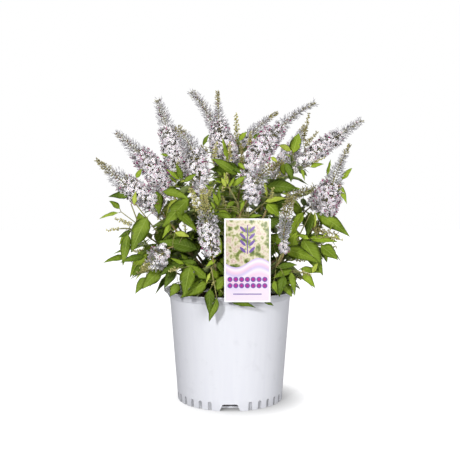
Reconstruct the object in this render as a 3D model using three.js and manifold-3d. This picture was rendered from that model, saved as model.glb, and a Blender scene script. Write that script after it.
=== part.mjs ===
// A young butterfly bush in bloom, in a round nursery pot with a plant label hooked over the rim.
// Millimetres, +Z up. The origin is the middle of the pot's flat underside, and the front is -Y.
// A short woody crown stands on the potting mix. One tapering bough for each shoot rises from it, and each
// bough carries a mass: a leafy stem that branches by a seeded rule and ends in a flower spike.
import * as THREE from "three";
import { mergeVertices } from "three/addons/utils/BufferGeometryUtils.js";
import Module from "manifold-3d";

const wasm = await Module();
wasm.setup();

// ---- Driving dimensions ----

const gap = 0.3; // left between neighbouring solids

const pot = {
  height: 229,
  footRadius: 109,
  shoulderRadius: 125,
  shoulderHeight: 213,
  lipRadius: 138,
  wall: 2.4,
  base: 4,
  facets: 48,
};
const notch = { count: 3, footWidth: 43, topWidth: 29, height: 14, reach: 25 };
const flute = { pitch: 12, width: 6, height: 16, depth: 1.3 };

const soil = { top: 210, edgeDrop: 4, flatRadius: 34 };

const label = { width: 88, height: 159, thick: 1, centreX: 33, foot: 222, backY: -145 };
const hook = { width: 14, thick: 1.2, rise: 24, innerY: -108, depth: 40 };

const crown = { height: 40, flareRadius: 19, neckRadius: 12.5, tipRadius: 9, lean: 3 };

const bough = { footRadius: 3.9, tipRadius: 2.6, sides: 5, steps: 5, share: 0.36 };
const highRing = { radius: 14.8, height: 27, rise: 68 };
const lowRing = { radius: 16.4, height: 11, rise: 48 };
const skirtRing = { radius: 18, height: 3.5, rise: 30 };

const stem = { tipRadius: 1.5, sides: 5, steps: 5, internode: 25, phase: 25 };
const skirtStem = { footRadius: 2.4, sides: 4, firstLeaves: 0.3, internode: 20 };
const twig = { radius: 1.5, sides: 3, splay: 42, shortest: 30, longest: 52 };
const leaf = {
  longest: 92,
  shortest: 52,
  aspect: 0.4,
  widest: 0.4,
  splay: 58,
  lowDroop: 0.6,
  highDroop: 0.3,
  roll: 0.9,
  keel: 0.035,
  shrinks: [1, 0.82, 0.66],
  tries: 3,
};
const spike = { whorlPitch: 27, fewestWhorls: 3, waist: 0.7 };
const budSpike = { length: 34, girth: 5.5, whorls: 2 };
const room = { shared: 12, clear: 0.9, inside: 0.1, rootShare: 0.1, rim: 3, label: 4 };

const seed = 41;

// The shoots that set the bush's outline. Each row gives a name, the foot and the tip of its flower spike
// (x, y, height above the potting mix), the spike's widest radius, and the size of its leaves.
const outlineShoots = [
  ["left_low", [-160, -50, 200], [-265, -70, 285], 22, 1],
  ["left_middle", [-138, 10, 235], [-240, 12, 345], 24, 1],
  ["left_high", [-115, 45, 275], [-155, 55, 420], 21, 0.9],
  ["left_inner", [-52, -75, 236], [-104, -88, 348], 27, 1],
  ["rear_top", [-22, 78, 325], [-87, 96, 440], 16, 0.8],
  ["centre_top", [-5, -18, 280], [-25, 0, 426], 29, 0.9],
  ["rear_right", [30, 96, 321], [107, 130, 396], 17, 0.8],
  ["right_long", [36, -56, 256], [177, -20, 403], 31, 0.9],
  ["right_high", [150, 22, 283], [278, 30, 371], 24, 0.9],
  ["right_low", [192, -40, 182], [242, -40, 317], 29, 1],
  ["centre_front", [33, -120, 196], [102, -140, 276], 24, 1],
  ["front_right", [103, -142, 110], [116, -152, 214], 15, 1],
  ["front_left", [-38, -146, 112], [-65, -168, 223], 19, 1],
  ["left_nodding", [-126, -112, 108], [-171, -140, 73], 17, 1.05],
];
// Leafy shoots without a bough of their own, in a skirt round the foot: bearing, reach, height, leaf size.
const skirtShoots = [
  ["skirt_front", -13, 122, 50, 0.8],
  ["skirt_front_left", -40, 156, 74, 1],
  ["skirt_left_low", -63, 180, 66, 1.1],
  ["skirt_left", -80, 226, 146, 1.1],
  ["skirt_left_rear", -104, 190, 96, 1.1],
  ["skirt_rear_left", -134, 170, 74, 1.1],
  ["skirt_rear", -160, 182, 110, 1.1],
  ["skirt_rear_middle", 176, 164, 66, 1.1],
  ["skirt_rear_right", 150, 180, 104, 1.1],
  ["skirt_right_rear", 122, 170, 70, 1.1],
  ["skirt_right", 94, 200, 108, 1.1],
  ["skirt_right_low", 71, 210, 130, 1.1],
  ["skirt_front_right", 50, 178, 66, 1],
];
const skirtTip = { length: 26, girth: 4.5, whorls: 2, rise: -8 };
// The far side carries shoots of the same habit, spaced evenly, high and low in turn.
const rear = {
  count: 7,
  firstBearing: 106,
  step: 22.5,
  low: { out: 165, up: 178, rise: 36, girth: 24 },
  high: { out: 132, up: 262, rise: 52, girth: 23 },
  spikeLength: 132,
};

const colours = {
  pot: 0xeef0f6,
  soil: 0x2f2019,
  label: 0xf6f3f9,
  bark: 0x8a7354,
  leaf: 0x6b8a34,
};

// ---- Small helpers ----

const vec = (x, y, z) => new THREE.Vector3(x, y, z);
const radians = THREE.MathUtils.degToRad;
const mix = THREE.MathUtils.lerp;
const upward = vec(0, 0, 1);

/** A repeatable stream of numbers from 0 to 1. */
function seeded(start) {
  let state = start >>> 0;
  return () => {
    state = (state + 0x6d2b79f5) >>> 0;
    let t = Math.imul(state ^ (state >>> 15), state | 1);
    t ^= t + Math.imul(t ^ (t >>> 7), t | 61);
    return ((t ^ (t >>> 14)) >>> 0) / 4294967296;
  };
}

/** A horizontal direction: bearing 0 is the front, -Y, and 90 is +X. */
const bearingOf = (angle) => vec(Math.sin(radians(angle)), -Math.cos(radians(angle)), 0);

function solidFrom(points, faces) {
  const vertProperties = new Float32Array(points.flatMap((p) => p.toArray()));
  return new wasm.Manifold(new wasm.Mesh({ numProp: 3, vertProperties, triVerts: new Uint32Array(faces.flat()) }));
}

function solidOfGeometry(geometry) {
  const bare = geometry.clone();
  bare.deleteAttribute("normal");
  bare.deleteAttribute("uv");
  const merged = mergeVertices(bare, 1e-4);
  return new wasm.Manifold(
    new wasm.Mesh({
      numProp: 3,
      vertProperties: merged.attributes.position.array,
      triVerts: new Uint32Array(merged.index.array),
    }),
  );
}

/** The largest body of a solid: loose scraps are dropped and sealed hollows are filled. */
function mainBody(solid) {
  return solid.decompose().reduce((best, body) => (body.volume() > best.volume() ? body : best));
}

/** True if every edge of a solid still joins exactly two faces once its corners are rounded to a fine grid. */
function joinsCleanly(solid, grid) {
  const { vertProperties, triVerts } = solid.getMesh();
  const corner = (i) => [0, 1, 2].map((k) => Math.round(vertProperties[3 * i + k] / grid)).join();
  const uses = new Map();
  for (let i = 0; i < triVerts.length; i += 3) {
    const corners = [corner(triVerts[i]), corner(triVerts[i + 1]), corner(triVerts[i + 2])];
    if (new Set(corners).size < 3) continue;
    corners.forEach((from, k) => {
      const edge = [from, corners[(k + 1) % 3]].sort().join(" ");
      uses.set(edge, (uses.get(edge) ?? 0) + 1);
    });
  }
  return [...uses.values()].every((count) => count === 2);
}

/** Joins a leaf or twig to its mass, or leaves the mass as it was where the join would pinch it. */
function join(mass, part) {
  const joined = mass.add(part);
  return [1e-4, 1e-3].every((grid) => joinsCleanly(joined, grid)) ? joined : mass;
}

function geometryOf(solid) {
  const mesh = solid.getMesh();
  const geometry = new THREE.BufferGeometry();
  geometry.setAttribute("position", new THREE.BufferAttribute(mesh.vertProperties, mesh.numProp));
  geometry.setIndex(new THREE.BufferAttribute(mesh.triVerts, 1));
  geometry.computeVertexNormals();
  return geometry;
}

function material(color, roughness) {
  return new THREE.MeshStandardMaterial({ color, roughness, metalness: 0, flatShading: true });
}

function namedMesh(name, geometry, look) {
  const mesh = new THREE.Mesh(geometry, look);
  mesh.name = name;
  return mesh;
}

// ---- Limbs, leaves and spikes ----

/** A closed tube through the points, one ring of the given radius at each, every other ring turned if asked. */
function tube(points, radii, sides, turned = false) {
  const rings = [];
  let across = null;
  points.forEach((point, i) => {
    const before = points[Math.max(i - 1, 0)];
    const along = points[Math.min(i + 1, points.length - 1)].clone().sub(before).normalize();
    across ??= Math.abs(along.z) < 0.9 ? upward.clone() : vec(1, 0, 0);
    across = across.clone().addScaledVector(along, -across.dot(along)).normalize();
    const beside = along.clone().cross(across);
    const start = turned && i % 2 ? Math.PI / sides : 0;
    for (let k = 0; k < sides; k++) {
      const angle = start + (2 * Math.PI * k) / sides;
      rings.push(
        point
          .clone()
          .addScaledVector(across, radii[i] * Math.cos(angle))
          .addScaledVector(beside, radii[i] * Math.sin(angle)),
      );
    }
  });
  const faces = [];
  for (let i = 0; i + 1 < points.length; i++) {
    for (let k = 0; k < sides; k++) {
      const a = i * sides + k;
      const b = i * sides + ((k + 1) % sides);
      faces.push([a, b, b + sides], [a, b + sides, a + sides]);
    }
  }
  const last = (points.length - 1) * sides;
  for (let k = 1; k + 1 < sides; k++) {
    faces.push([0, k + 1, k], [last, last + k, last + k + 1]);
  }
  return solidFrom(rings, faces);
}

/** A flower spike's radius at a share s of the way to its tip, for a widest radius of 1. */
function spikeProfile(s) {
  const body = 0.3 + 0.7 * (1 - s) ** 1.4;
  return body * Math.min(1, 0.55 + 4 * s) * Math.min(1, 0.25 + 6 * (1 - s));
}

/** The rings of a flower spike from foot to tip, wide and waisted in turn like its whorls of florets. */
function spikeRings(foot, tip, girth, whorls) {
  const points = [];
  const radii = [];
  for (let i = 0; i < 2 * whorls; i++) {
    const s = (i + 0.5) / (2 * whorls);
    points.push(foot.clone().lerp(tip, i + 1 === 2 * whorls ? 1 : s));
    radii.push(girth * spikeProfile(s) * (i % 2 ? spike.waist : 1));
  }
  return { points, radii };
}

/** The middle line, left side and normal of a leaf at a share s of its length. */
function leafStation(blade, s) {
  const { root, heading, length, droop, roll } = blade;
  const centre = root
    .clone()
    .addScaledVector(heading, length * s)
    .addScaledVector(upward, -droop * length * s * s);
  const along = heading.clone().addScaledVector(upward, -2 * droop * s).normalize();
  const level = Math.abs(heading.z) < 0.95 ? upward : bearingOf(0);
  const side = level.clone().cross(heading).normalize().applyAxisAngle(heading, roll);
  side.addScaledVector(along, -side.dot(along)).normalize();
  return { centre, side, normal: along.clone().cross(side) };
}

/** A leaf blade with 10 faces: flat on top and keeled below, from its narrow root at a share of its length. */
function leafSolid(blade, start, spare) {
  const { halfWidth, length, grip } = blade;
  const foot = leafStation(blade, start);
  const middle = leafStation(blade, leaf.widest);
  const raised = middle.centre.clone().addScaledVector(middle.normal, spare);
  const points = [
    foot.centre.clone().addScaledVector(foot.side, grip + spare),
    foot.centre.clone().addScaledVector(foot.side, -grip - spare),
    foot.centre.clone().addScaledVector(foot.normal, -grip - spare),
    raised.clone().addScaledVector(middle.side, halfWidth + spare),
    raised.clone().addScaledVector(middle.side, -halfWidth - spare),
    middle.centre.clone().addScaledVector(middle.normal, -leaf.keel * length - spare),
    leafStation(blade, 1 + spare / length).centre,
  ];
  return solidFrom(points, leafFaces);
}

const leafFaces = [
  [0, 2, 1],
  [1, 3, 0],
  [1, 4, 3],
  [0, 5, 2],
  [0, 3, 5],
  [2, 4, 1],
  [2, 5, 4],
  [3, 4, 6],
  [3, 6, 5],
  [5, 6, 4],
];

/** Points spread over a leaf, close enough together to tell where it goes. */
function leafSamples(blade) {
  const samples = [];
  for (let i = 1; i <= 10; i++) {
    const s = i / 10;
    const { centre, side } = leafStation(blade, s);
    const share = s < leaf.widest ? s / leaf.widest : (1 - s) / (1 - leaf.widest);
    for (const across of [-1, -0.5, 0, 0.5, 1]) {
      samples.push(centre.clone().addScaledVector(side, across * share * blade.halfWidth));
    }
  }
  return samples;
}

// ---- The shoots ----

/** Every shoot with its spike, before the boughs' feet are shared out round the crown. */
function listShoots() {
  const shoots = outlineShoots.map(([name, foot, tip, girth, leafSize]) => ({
    name,
    foot: vec(...foot),
    tip: vec(...tip),
    girth,
    leafSize,
    ring: foot[2] < 215 ? lowRing : highRing,
    start: bough.share,
  }));
  for (let i = 0; i < rear.count; i++) {
    const form = i % 4 === 1 ? rear.high : rear.low;
    const out = bearingOf(rear.firstBearing + i * rear.step);
    const foot = out.clone().multiplyScalar(form.out).setZ(form.up);
    const reach = out.clone().multiplyScalar(Math.cos(radians(form.rise)));
    const tip = foot.clone().addScaledVector(reach.setZ(Math.sin(radians(form.rise))), rear.spikeLength);
    const ring = form === rear.low ? lowRing : highRing;
    shoots.push({ name: `rear_${i + 1}`, foot, tip, girth: form.girth, leafSize: 1, ring, start: bough.share });
  }
  for (const [name, bearing, out, up, leafSize] of skirtShoots) {
    const foot = bearingOf(bearing).multiplyScalar(out).setZ(up);
    const reach = bearingOf(bearing).multiplyScalar(Math.cos(radians(skirtTip.rise)));
    const tip = foot.clone().addScaledVector(reach.setZ(Math.sin(radians(skirtTip.rise))), skirtTip.length);
    shoots.push({ name, foot, tip, girth: skirtTip.girth, leafSize, ring: skirtRing, start: 0 });
  }
  return shoots;
}

/** Shares the boughs' feet out evenly round the crown, in the order of their bearings. */
function placeFeet(shoots) {
  const turn = (shoot) => (Math.atan2(shoot.foot.x, -shoot.foot.y) / radians(1) + 360) % 360;
  for (const ring of [highRing, lowRing, skirtRing]) {
    const members = shoots.filter((shoot) => shoot.ring === ring).sort((a, b) => turn(a) - turn(b));
    const offsets = members.map((shoot, i) => turn(shoot) - (360 * i) / members.length);
    const start = offsets.reduce((sum, offset) => sum + offset, 0) / members.length;
    members.forEach((shoot, i) => {
      const out = bearingOf(start + (360 * i) / members.length);
      shoot.root = out.clone().multiplyScalar(ring.radius).setZ(ring.height);
      const level = out.clone().multiplyScalar(Math.cos(radians(ring.rise)));
      shoot.rise = level.setZ(Math.sin(radians(ring.rise)));
    });
  }
}

/** A point on a shoot's woody line, from the crown at t = 0 to the foot of the flower spike at t = 1. */
function lineAt(shoot, t) {
  const reach = shoot.root.distanceTo(shoot.foot);
  const heading = shoot.tip.clone().sub(shoot.foot).normalize();
  const p1 = shoot.root.clone().addScaledVector(shoot.rise, 0.4 * reach);
  const p2 = shoot.foot.clone().addScaledVector(heading, -0.26 * reach);
  const u = 1 - t;
  return shoot.root
    .clone()
    .multiplyScalar(u * u * u)
    .addScaledVector(p1, 3 * u * u * t)
    .addScaledVector(p2, 3 * u * t * t)
    .addScaledVector(shoot.foot, t * t * t);
}

/** The woody radius at a share t of a shoot's line. */
function woodRadius(shoot, t) {
  if (shoot.start === 0) return mix(skirtStem.footRadius, stem.tipRadius, t);
  if (t < shoot.start) return mix(bough.footRadius, bough.tipRadius, t / shoot.start);
  return mix(bough.tipRadius, stem.tipRadius, (t - shoot.start) / (1 - shoot.start));
}

/** The line as joined points: bough, stem and spike, to measure distances from. */
function pointsAlong(shoot) {
  const line = [];
  for (let i = 0; i <= 12; i++) line.push(lineAt(shoot, i / 12));
  line.push(shoot.tip);
  return line;
}

/** How far a point is from a shoot's line. */
function distanceTo(line, point) {
  let nearest = Infinity;
  for (let i = 0; i + 1 < line.length; i++) {
    const run = line[i + 1].clone().sub(line[i]);
    const offset = point.clone().sub(line[i]);
    const share = Math.min(1, Math.max(0, offset.dot(run) / run.lengthSq()));
    nearest = Math.min(nearest, offset.addScaledVector(run, -share).length());
  }
  return nearest;
}

/** True where a point is clear of the pot, the potting mix and the label. Heights are above the mix. */
function clearOfPot(point) {
  const radius = Math.hypot(point.x, point.y);
  const lip = pot.height - soil.top;
  const overWall = radius < pot.lipRadius + room.rim && radius > pot.shoulderRadius - pot.wall - 2 * room.rim;
  const floor = overWall ? lip + room.rim : radius < pot.lipRadius ? room.rim : -soil.top;
  const besideLabel =
    Math.abs(point.x - label.centreX) > label.width / 2 + room.label ||
    point.z + soil.top > label.foot + label.height + room.label ||
    point.z + soil.top < label.foot - room.label ||
    point.y > label.backY + room.label;
  const clearOfHook =
    Math.abs(point.x - label.centreX) > hook.width / 2 + room.label ||
    point.y > hook.innerY + room.label ||
    point.z > label.foot + hook.rise + hook.thick + room.label - soil.top;
  return point.z > floor && besideLabel && clearOfHook;
}

/** A mass's space: nearer to its own shoot's line than to another's, but for a little both may reach into. */
function inOwnSpace(point, own, lines) {
  const reach = distanceTo(lines[own], point) - room.shared;
  return lines.every((line, i) => i === own || distanceTo(line, point) > reach);
}

const overlaps = (a, b) => [0, 1, 2].every((k) => a.min[k] <= b.max[k] && b.min[k] <= a.max[k]);

/**
 * True if a twig or leaf would stay in its own space, clear of the pot and of everything grown so far. Its
 * envelope is kept off other masses and limbs, and its free end, past the root, off its own mass.
 */
function hasRoom(samples, envelope, freeEnd, own, grown) {
  if (!samples.every((point) => clearOfPot(point) && inOwnSpace(point, own, grown.lines))) return false;
  const box = envelope.boundingBox();
  return grown.pieces.every((piece) => {
    const test = piece.owner === own ? freeEnd : envelope;
    return !overlaps(box, piece.box) || test.intersect(piece.solid).isEmpty();
  });
}

function keep(solid, owner, grown) {
  grown.pieces.push({ solid, owner, box: solid.boundingBox() });
  return solid;
}

/** The leaf that grows from a point of a stem, turned and shrunk until it fits, or null where it has no room. */
function growLeaf(root, grip, along, outward, size, droop, random, own, grown) {
  for (let attempt = 0; attempt < leaf.tries; attempt++) {
    const splay = radians(leaf.splay + 30 * (random() - 0.5));
    const heading = along.clone().multiplyScalar(Math.cos(splay)).addScaledVector(outward, Math.sin(splay)).normalize();
    const bend = droop * (0.7 + 0.6 * random());
    const roll = 2 * leaf.roll * (random() - 0.5);
    for (const shrink of leaf.shrinks) {
      const length = size * shrink;
      const halfWidth = (length * leaf.aspect) / 2;
      const blade = { root, heading, length, droop: bend, roll, halfWidth, grip };
      const envelope = leafSolid(blade, 0, room.clear);
      const freeEnd = leafSolid(blade, room.rootShare, room.inside);
      if (hasRoom(leafSamples(blade), envelope, freeEnd, own, grown)) return keep(leafSolid(blade, 0, 0), own, grown);
    }
  }
  return null;
}

/** Two opposite leaves at a node of a stem or twig. */
function growPair(root, grip, along, outward, size, droop, random, own, grown) {
  return [1, -1]
    .map((sign) => {
      const sunk = root.clone().addScaledVector(along, 0.5 * sign);
      return growLeaf(sunk, grip, along, outward.clone().multiplyScalar(sign), size, droop, random, own, grown);
    })
    .filter(Boolean);
}

/** A side twig with a pair of leaves and a small green spike at its end, or nothing if it has no room. */
function growTwig(root, along, outward, size, droop, random, own, grown) {
  const splay = radians(twig.splay);
  const heading = along.clone().multiplyScalar(Math.cos(splay)).addScaledVector(outward, Math.sin(splay)).normalize();
  const end = root.clone().addScaledVector(heading, mix(twig.shortest, twig.longest, random()));
  const rise = heading.clone().addScaledVector(upward, 0.4).normalize();
  const bud = spikeRings(end, end.clone().addScaledVector(rise, budSpike.length), budSpike.girth, budSpike.whorls);
  const line = [root, end, ...bud.points];
  const radii = [twig.radius, twig.radius, ...bud.radii];
  const envelope = tube(line, radii.map((radius) => radius + room.clear), twig.sides, true);
  const pastRoot = [root.clone().lerp(end, 0.2), ...line.slice(1)];
  const freeEnd = tube(pastRoot, radii.map((radius) => radius + room.inside), twig.sides, true);
  const samples = line.slice(1).concat(root.clone().lerp(end, 0.4), root.clone().lerp(end, 0.7));
  if (!hasRoom(samples, envelope, freeEnd, own, grown)) return [];
  const woody = keep(tube(line, radii, twig.sides, true), own, grown);
  const middle = root.clone().lerp(end, 0.62);
  const across = heading.clone().cross(outward).normalize();
  return [woody, ...growPair(middle, 0.4 * twig.radius, heading, across, size, droop, random, own, grown)];
}

/** The stem that goes on from a bough's tip, or from the crown, and ends in the shoot's flower spike. */
function makeStem(shoot) {
  const skirt = shoot.start === 0;
  const points = [];
  const radii = [];
  for (let i = 0; i < stem.steps; i++) {
    const t = mix(shoot.start, 1, i / stem.steps);
    points.push(lineAt(shoot, t));
    radii.push(woodRadius(shoot, t));
  }
  points[0].addScaledVector(points[1].clone().sub(points[0]).normalize(), gap);
  const whorls = Math.max(spike.fewestWhorls, Math.round(shoot.foot.distanceTo(shoot.tip) / spike.whorlPitch));
  const bloom = spikeRings(shoot.foot, shoot.tip, shoot.girth, skirt ? skirtTip.whorls : whorls);
  const sides = skirt ? skirtStem.sides : stem.sides;
  return tube([...points, ...bloom.points], [...radii, ...bloom.radii], sides, true);
}

/** The mass of one shoot: its stem and spike, with opposite leaves, each pair square to the last, and side twigs. */
function growMass(shoot, own, stemSolid, grown) {
  const random = seeded(seed + own);
  const skirt = shoot.start === 0;
  const firstLeaves = skirt ? skirtStem.firstLeaves : shoot.start;
  const leafyLength = lineAt(shoot, firstLeaves).distanceTo(shoot.foot);
  const pairs = Math.max(2, Math.round(leafyLength / (skirt ? skirtStem.internode : stem.internode)));
  const turn = radians(stem.phase + 90 * random());
  let solid = stemSolid;
  for (let j = 0; j < pairs; j++) {
    const share = (j + 0.45) / pairs;
    const t = mix(firstLeaves, 1, share);
    const root = lineAt(shoot, t);
    const heading = lineAt(shoot, Math.min(1, t + 0.02)).sub(lineAt(shoot, t - 0.02)).normalize();
    const across = vec(heading.y, -heading.x, 0).normalize().applyAxisAngle(heading, turn + (Math.PI / 2) * j);
    const size = shoot.leafSize * mix(leaf.longest, leaf.shortest, share) * (0.85 + 0.3 * random());
    const droop = mix(leaf.lowDroop, leaf.highDroop, share);
    const parts = growPair(root, 0.5 * woodRadius(shoot, t), heading, across, size, droop, random, own, grown);
    if (j % 2 && !skirt) {
      const sign = random() < 0.5 ? 1 : -1;
      const outward = across.clone().multiplyScalar(sign).applyAxisAngle(heading, Math.PI / 2);
      const lower = lineAt(shoot, t - 0.03);
      parts.push(...growTwig(lower, heading, outward, 0.62 * size, droop, random, own, grown));
    }
    for (const part of parts) solid = join(solid, part);
  }
  return mainBody(solid);
}

/** One tapering limb from the crown to the start of its mass. */
function makeBough(shoot) {
  const points = [];
  const radii = [];
  for (let i = 0; i <= bough.steps; i++) {
    const t = (shoot.start * i) / bough.steps;
    points.push(lineAt(shoot, t));
    radii.push(woodRadius(shoot, t));
  }
  return tube(points, radii, bough.sides);
}

/** The woody crown: a short stem that flares to the ground and leans a little. */
function makeCrown() {
  const { height, flareRadius, neckRadius, tipRadius, lean } = crown;
  const profile = [
    [0, flareRadius],
    [0.12, mix(flareRadius, neckRadius, 0.45)],
    [0.35, neckRadius],
    [0.8, tipRadius],
    [1, tipRadius * 0.5],
  ];
  const points = profile.map(([share]) => vec(lean * share * share, 0, gap + height * share));
  return tube(points, profile.map(([, radius]) => radius), 12);
}

// ---- The pot, the potting mix and the label ----

const lathe = (profile) =>
  solidOfGeometry(
    new THREE.LatheGeometry(
      profile.map(([r, z]) => new THREE.Vector2(r, z)),
      pot.facets,
    ).rotateX(Math.PI / 2),
  );

/** The pot's outer radius at a height on its plain wall. */
const wallRadius = (z) => mix(pot.footRadius, pot.shoulderRadius, z / pot.shoulderHeight);

/** A wedge through the wall and base at the foot, for one drain notch. */
function notchCutter(bearing) {
  const outline = new THREE.Shape([
    new THREE.Vector2(-notch.footWidth / 2 - 1, -1),
    new THREE.Vector2(notch.footWidth / 2 + 1, -1),
    new THREE.Vector2(notch.topWidth / 2 + 1.5, notch.height - 2.5),
    new THREE.Vector2(notch.topWidth / 2 - 1.5, notch.height),
    new THREE.Vector2(-notch.topWidth / 2 + 1.5, notch.height),
    new THREE.Vector2(-notch.topWidth / 2 - 1.5, notch.height - 2.5),
  ]);
  const geometry = new THREE.ExtrudeGeometry(outline, { depth: notch.reach + 10, bevelEnabled: false });
  geometry.rotateX(Math.PI / 2).translate(0, -(pot.footRadius - notch.reach), 0);
  return solidOfGeometry(geometry.rotateZ(radians(bearing)));
}

/** A shallow upright groove with a round top, cut into the foot of the leaning wall. */
function fluteCutter(bearing) {
  const half = flute.width / 2;
  const outline = new THREE.Shape([
    new THREE.Vector2(-half, -2),
    new THREE.Vector2(half, -2),
    new THREE.Vector2(half, flute.height - half),
    new THREE.Vector2(0.5 * half, flute.height),
    new THREE.Vector2(-0.5 * half, flute.height),
    new THREE.Vector2(-half, flute.height - half),
  ]);
  const geometry = new THREE.ExtrudeGeometry(outline, { depth: 6, bevelEnabled: false });
  const leaning = Math.atan((pot.shoulderRadius - pot.footRadius) / pot.shoulderHeight);
  geometry.rotateX(Math.PI / 2).rotateX(leaning);
  geometry.translate(0, -(pot.footRadius - flute.depth), 0);
  return solidOfGeometry(geometry.rotateZ(radians(bearing)));
}

function makePot() {
  const { height, footRadius, shoulderRadius, shoulderHeight, lipRadius, wall, base } = pot;
  let solid = lathe([
    [0, 0],
    [footRadius - 2.5, 0],
    [wallRadius(2.5), 2.5],
    [shoulderRadius, shoulderHeight],
    [shoulderRadius + 1.8, shoulderHeight + 0.8],
    [shoulderRadius + 4, height - 11],
    [lipRadius - 4.5, height - 5.5],
    [lipRadius, height - 1.5],
    [lipRadius - 1.5, height],
    [lipRadius - 4.5, height - 1],
    [shoulderRadius + 1.5, height - 10],
    [shoulderRadius - wall, shoulderHeight],
    [wallRadius(base) - wall, base],
    [0, base],
  ]);
  const notchStep = 360 / notch.count;
  for (let bearing = 0; bearing < 360; bearing += flute.pitch) {
    const fromNotch = Math.min(bearing % notchStep, notchStep - (bearing % notchStep));
    if (fromNotch === 0) solid = solid.subtract(notchCutter(bearing));
    if (fromNotch > flute.pitch) solid = solid.subtract(fluteCutter(bearing));
  }
  return solid;
}

function makeSoil() {
  const bottom = pot.base + gap;
  const fit = pot.wall + gap;
  let solid = lathe([
    [0, bottom],
    [wallRadius(bottom) - fit, bottom],
    [wallRadius(soil.top - soil.edgeDrop) - fit, soil.top - soil.edgeDrop],
    [soil.flatRadius, soil.top],
    [0, soil.top],
  ]);
  for (let i = 0; i < notch.count; i++) solid = solid.subtract(notchCutter((360 * i) / notch.count));
  const slot = new THREE.BoxGeometry(hook.width + 2 * gap, hook.thick + 2 * gap, 2 * hook.depth);
  slot.translate(label.centreX, hook.innerY + hook.thick / 2, soil.top - soil.edgeDrop);
  return mainBody(solid.subtract(solidOfGeometry(slot)));
}

/** The label's tongue: from the back of the card over the rim and down into the potting mix. */
function makeHook() {
  const { thick, rise, innerY, depth } = hook;
  const top = label.foot + rise + thick;
  const back = label.backY + gap;
  const outline = new THREE.Shape([
    new THREE.Vector2(back, top - thick),
    new THREE.Vector2(innerY, top - thick),
    new THREE.Vector2(innerY, soil.top - soil.edgeDrop - depth + 8),
    new THREE.Vector2(innerY + thick, soil.top - soil.edgeDrop - depth + 8),
    new THREE.Vector2(innerY + thick, top),
    new THREE.Vector2(back, top),
  ]);
  const geometry = new THREE.ExtrudeGeometry(outline, { depth: hook.width, bevelEnabled: false });
  geometry.rotateX(Math.PI / 2).rotateZ(Math.PI / 2);
  return geometry.translate(-hook.width / 2, 0, 0);
}

/** The card, with rounded corners. */
function makeCard() {
  const { width, height, thick } = label;
  const corner = 3;
  const x = width / 2 - corner;
  const y = height / 2 - corner;
  const outline = new THREE.Shape();
  outline.absarc(x, y, corner, 0, Math.PI / 2);
  outline.absarc(-x, y, corner, Math.PI / 2, Math.PI);
  outline.absarc(-x, -y, corner, Math.PI, 1.5 * Math.PI);
  outline.absarc(x, -y, corner, 1.5 * Math.PI, 2 * Math.PI);
  return new THREE.ExtrudeGeometry(outline, { depth: thick, bevelEnabled: false, curveSegments: 3 });
}

// ---- The object ----

const looks = {
  pot: material(colours.pot, 0.38),
  soil: material(colours.soil, 0.95),
  label: material(colours.label, 0.35),
  bark: material(colours.bark, 0.85),
  leaf: material(colours.leaf, 0.6),
};

const bush = new THREE.Group();
bush.add(namedMesh("pot", geometryOf(makePot()), looks.pot));
bush.add(namedMesh("potting_mix", geometryOf(makeSoil()), looks.soil));

const tag = new THREE.Group();
tag.position.set(label.centreX, 0, 0);
const card = namedMesh("label_card", makeCard(), looks.label);
card.rotation.x = Math.PI / 2;
card.position.set(0, label.backY, label.foot + label.height / 2);
tag.add(card, namedMesh("label_hook", makeHook(), looks.label));
bush.add(tag);

const plant = new THREE.Group();
plant.position.set(0, 0, soil.top);
plant.add(namedMesh("crown", geometryOf(makeCrown()), looks.bark));
const shoots = listShoots();
placeFeet(shoots);
const grown = { lines: shoots.map(pointsAlong), pieces: [] };
for (const shoot of shoots.filter(({ start }) => start > 0)) {
  const limb = keep(makeBough(shoot), "limb", grown);
  plant.add(namedMesh(`bough_${shoot.name}`, geometryOf(limb), looks.bark));
}
const stems = shoots.map((shoot, own) => keep(makeStem(shoot), own, grown));
shoots.forEach((shoot, own) => {
  const mass = growMass(shoot, own, stems[own], grown);
  plant.add(namedMesh(`foliage_${shoot.name}`, geometryOf(mass), looks.leaf));
});
bush.add(plant);

export default bush;
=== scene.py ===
"""A young butterfly bush in bloom, in a round white nursery pot: how it looks.

Measures are millimetres until a mesh is made. +Z is up, the front is -Y, and the origin is the middle of the
pot's flat underside. Heights on the plant are above the potting mix, as on the part's own drawing.
"""

import math
from types import SimpleNamespace as Sizes

import bmesh
import bpy
import numpy as np
from mathutils import Matrix, Vector


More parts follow.
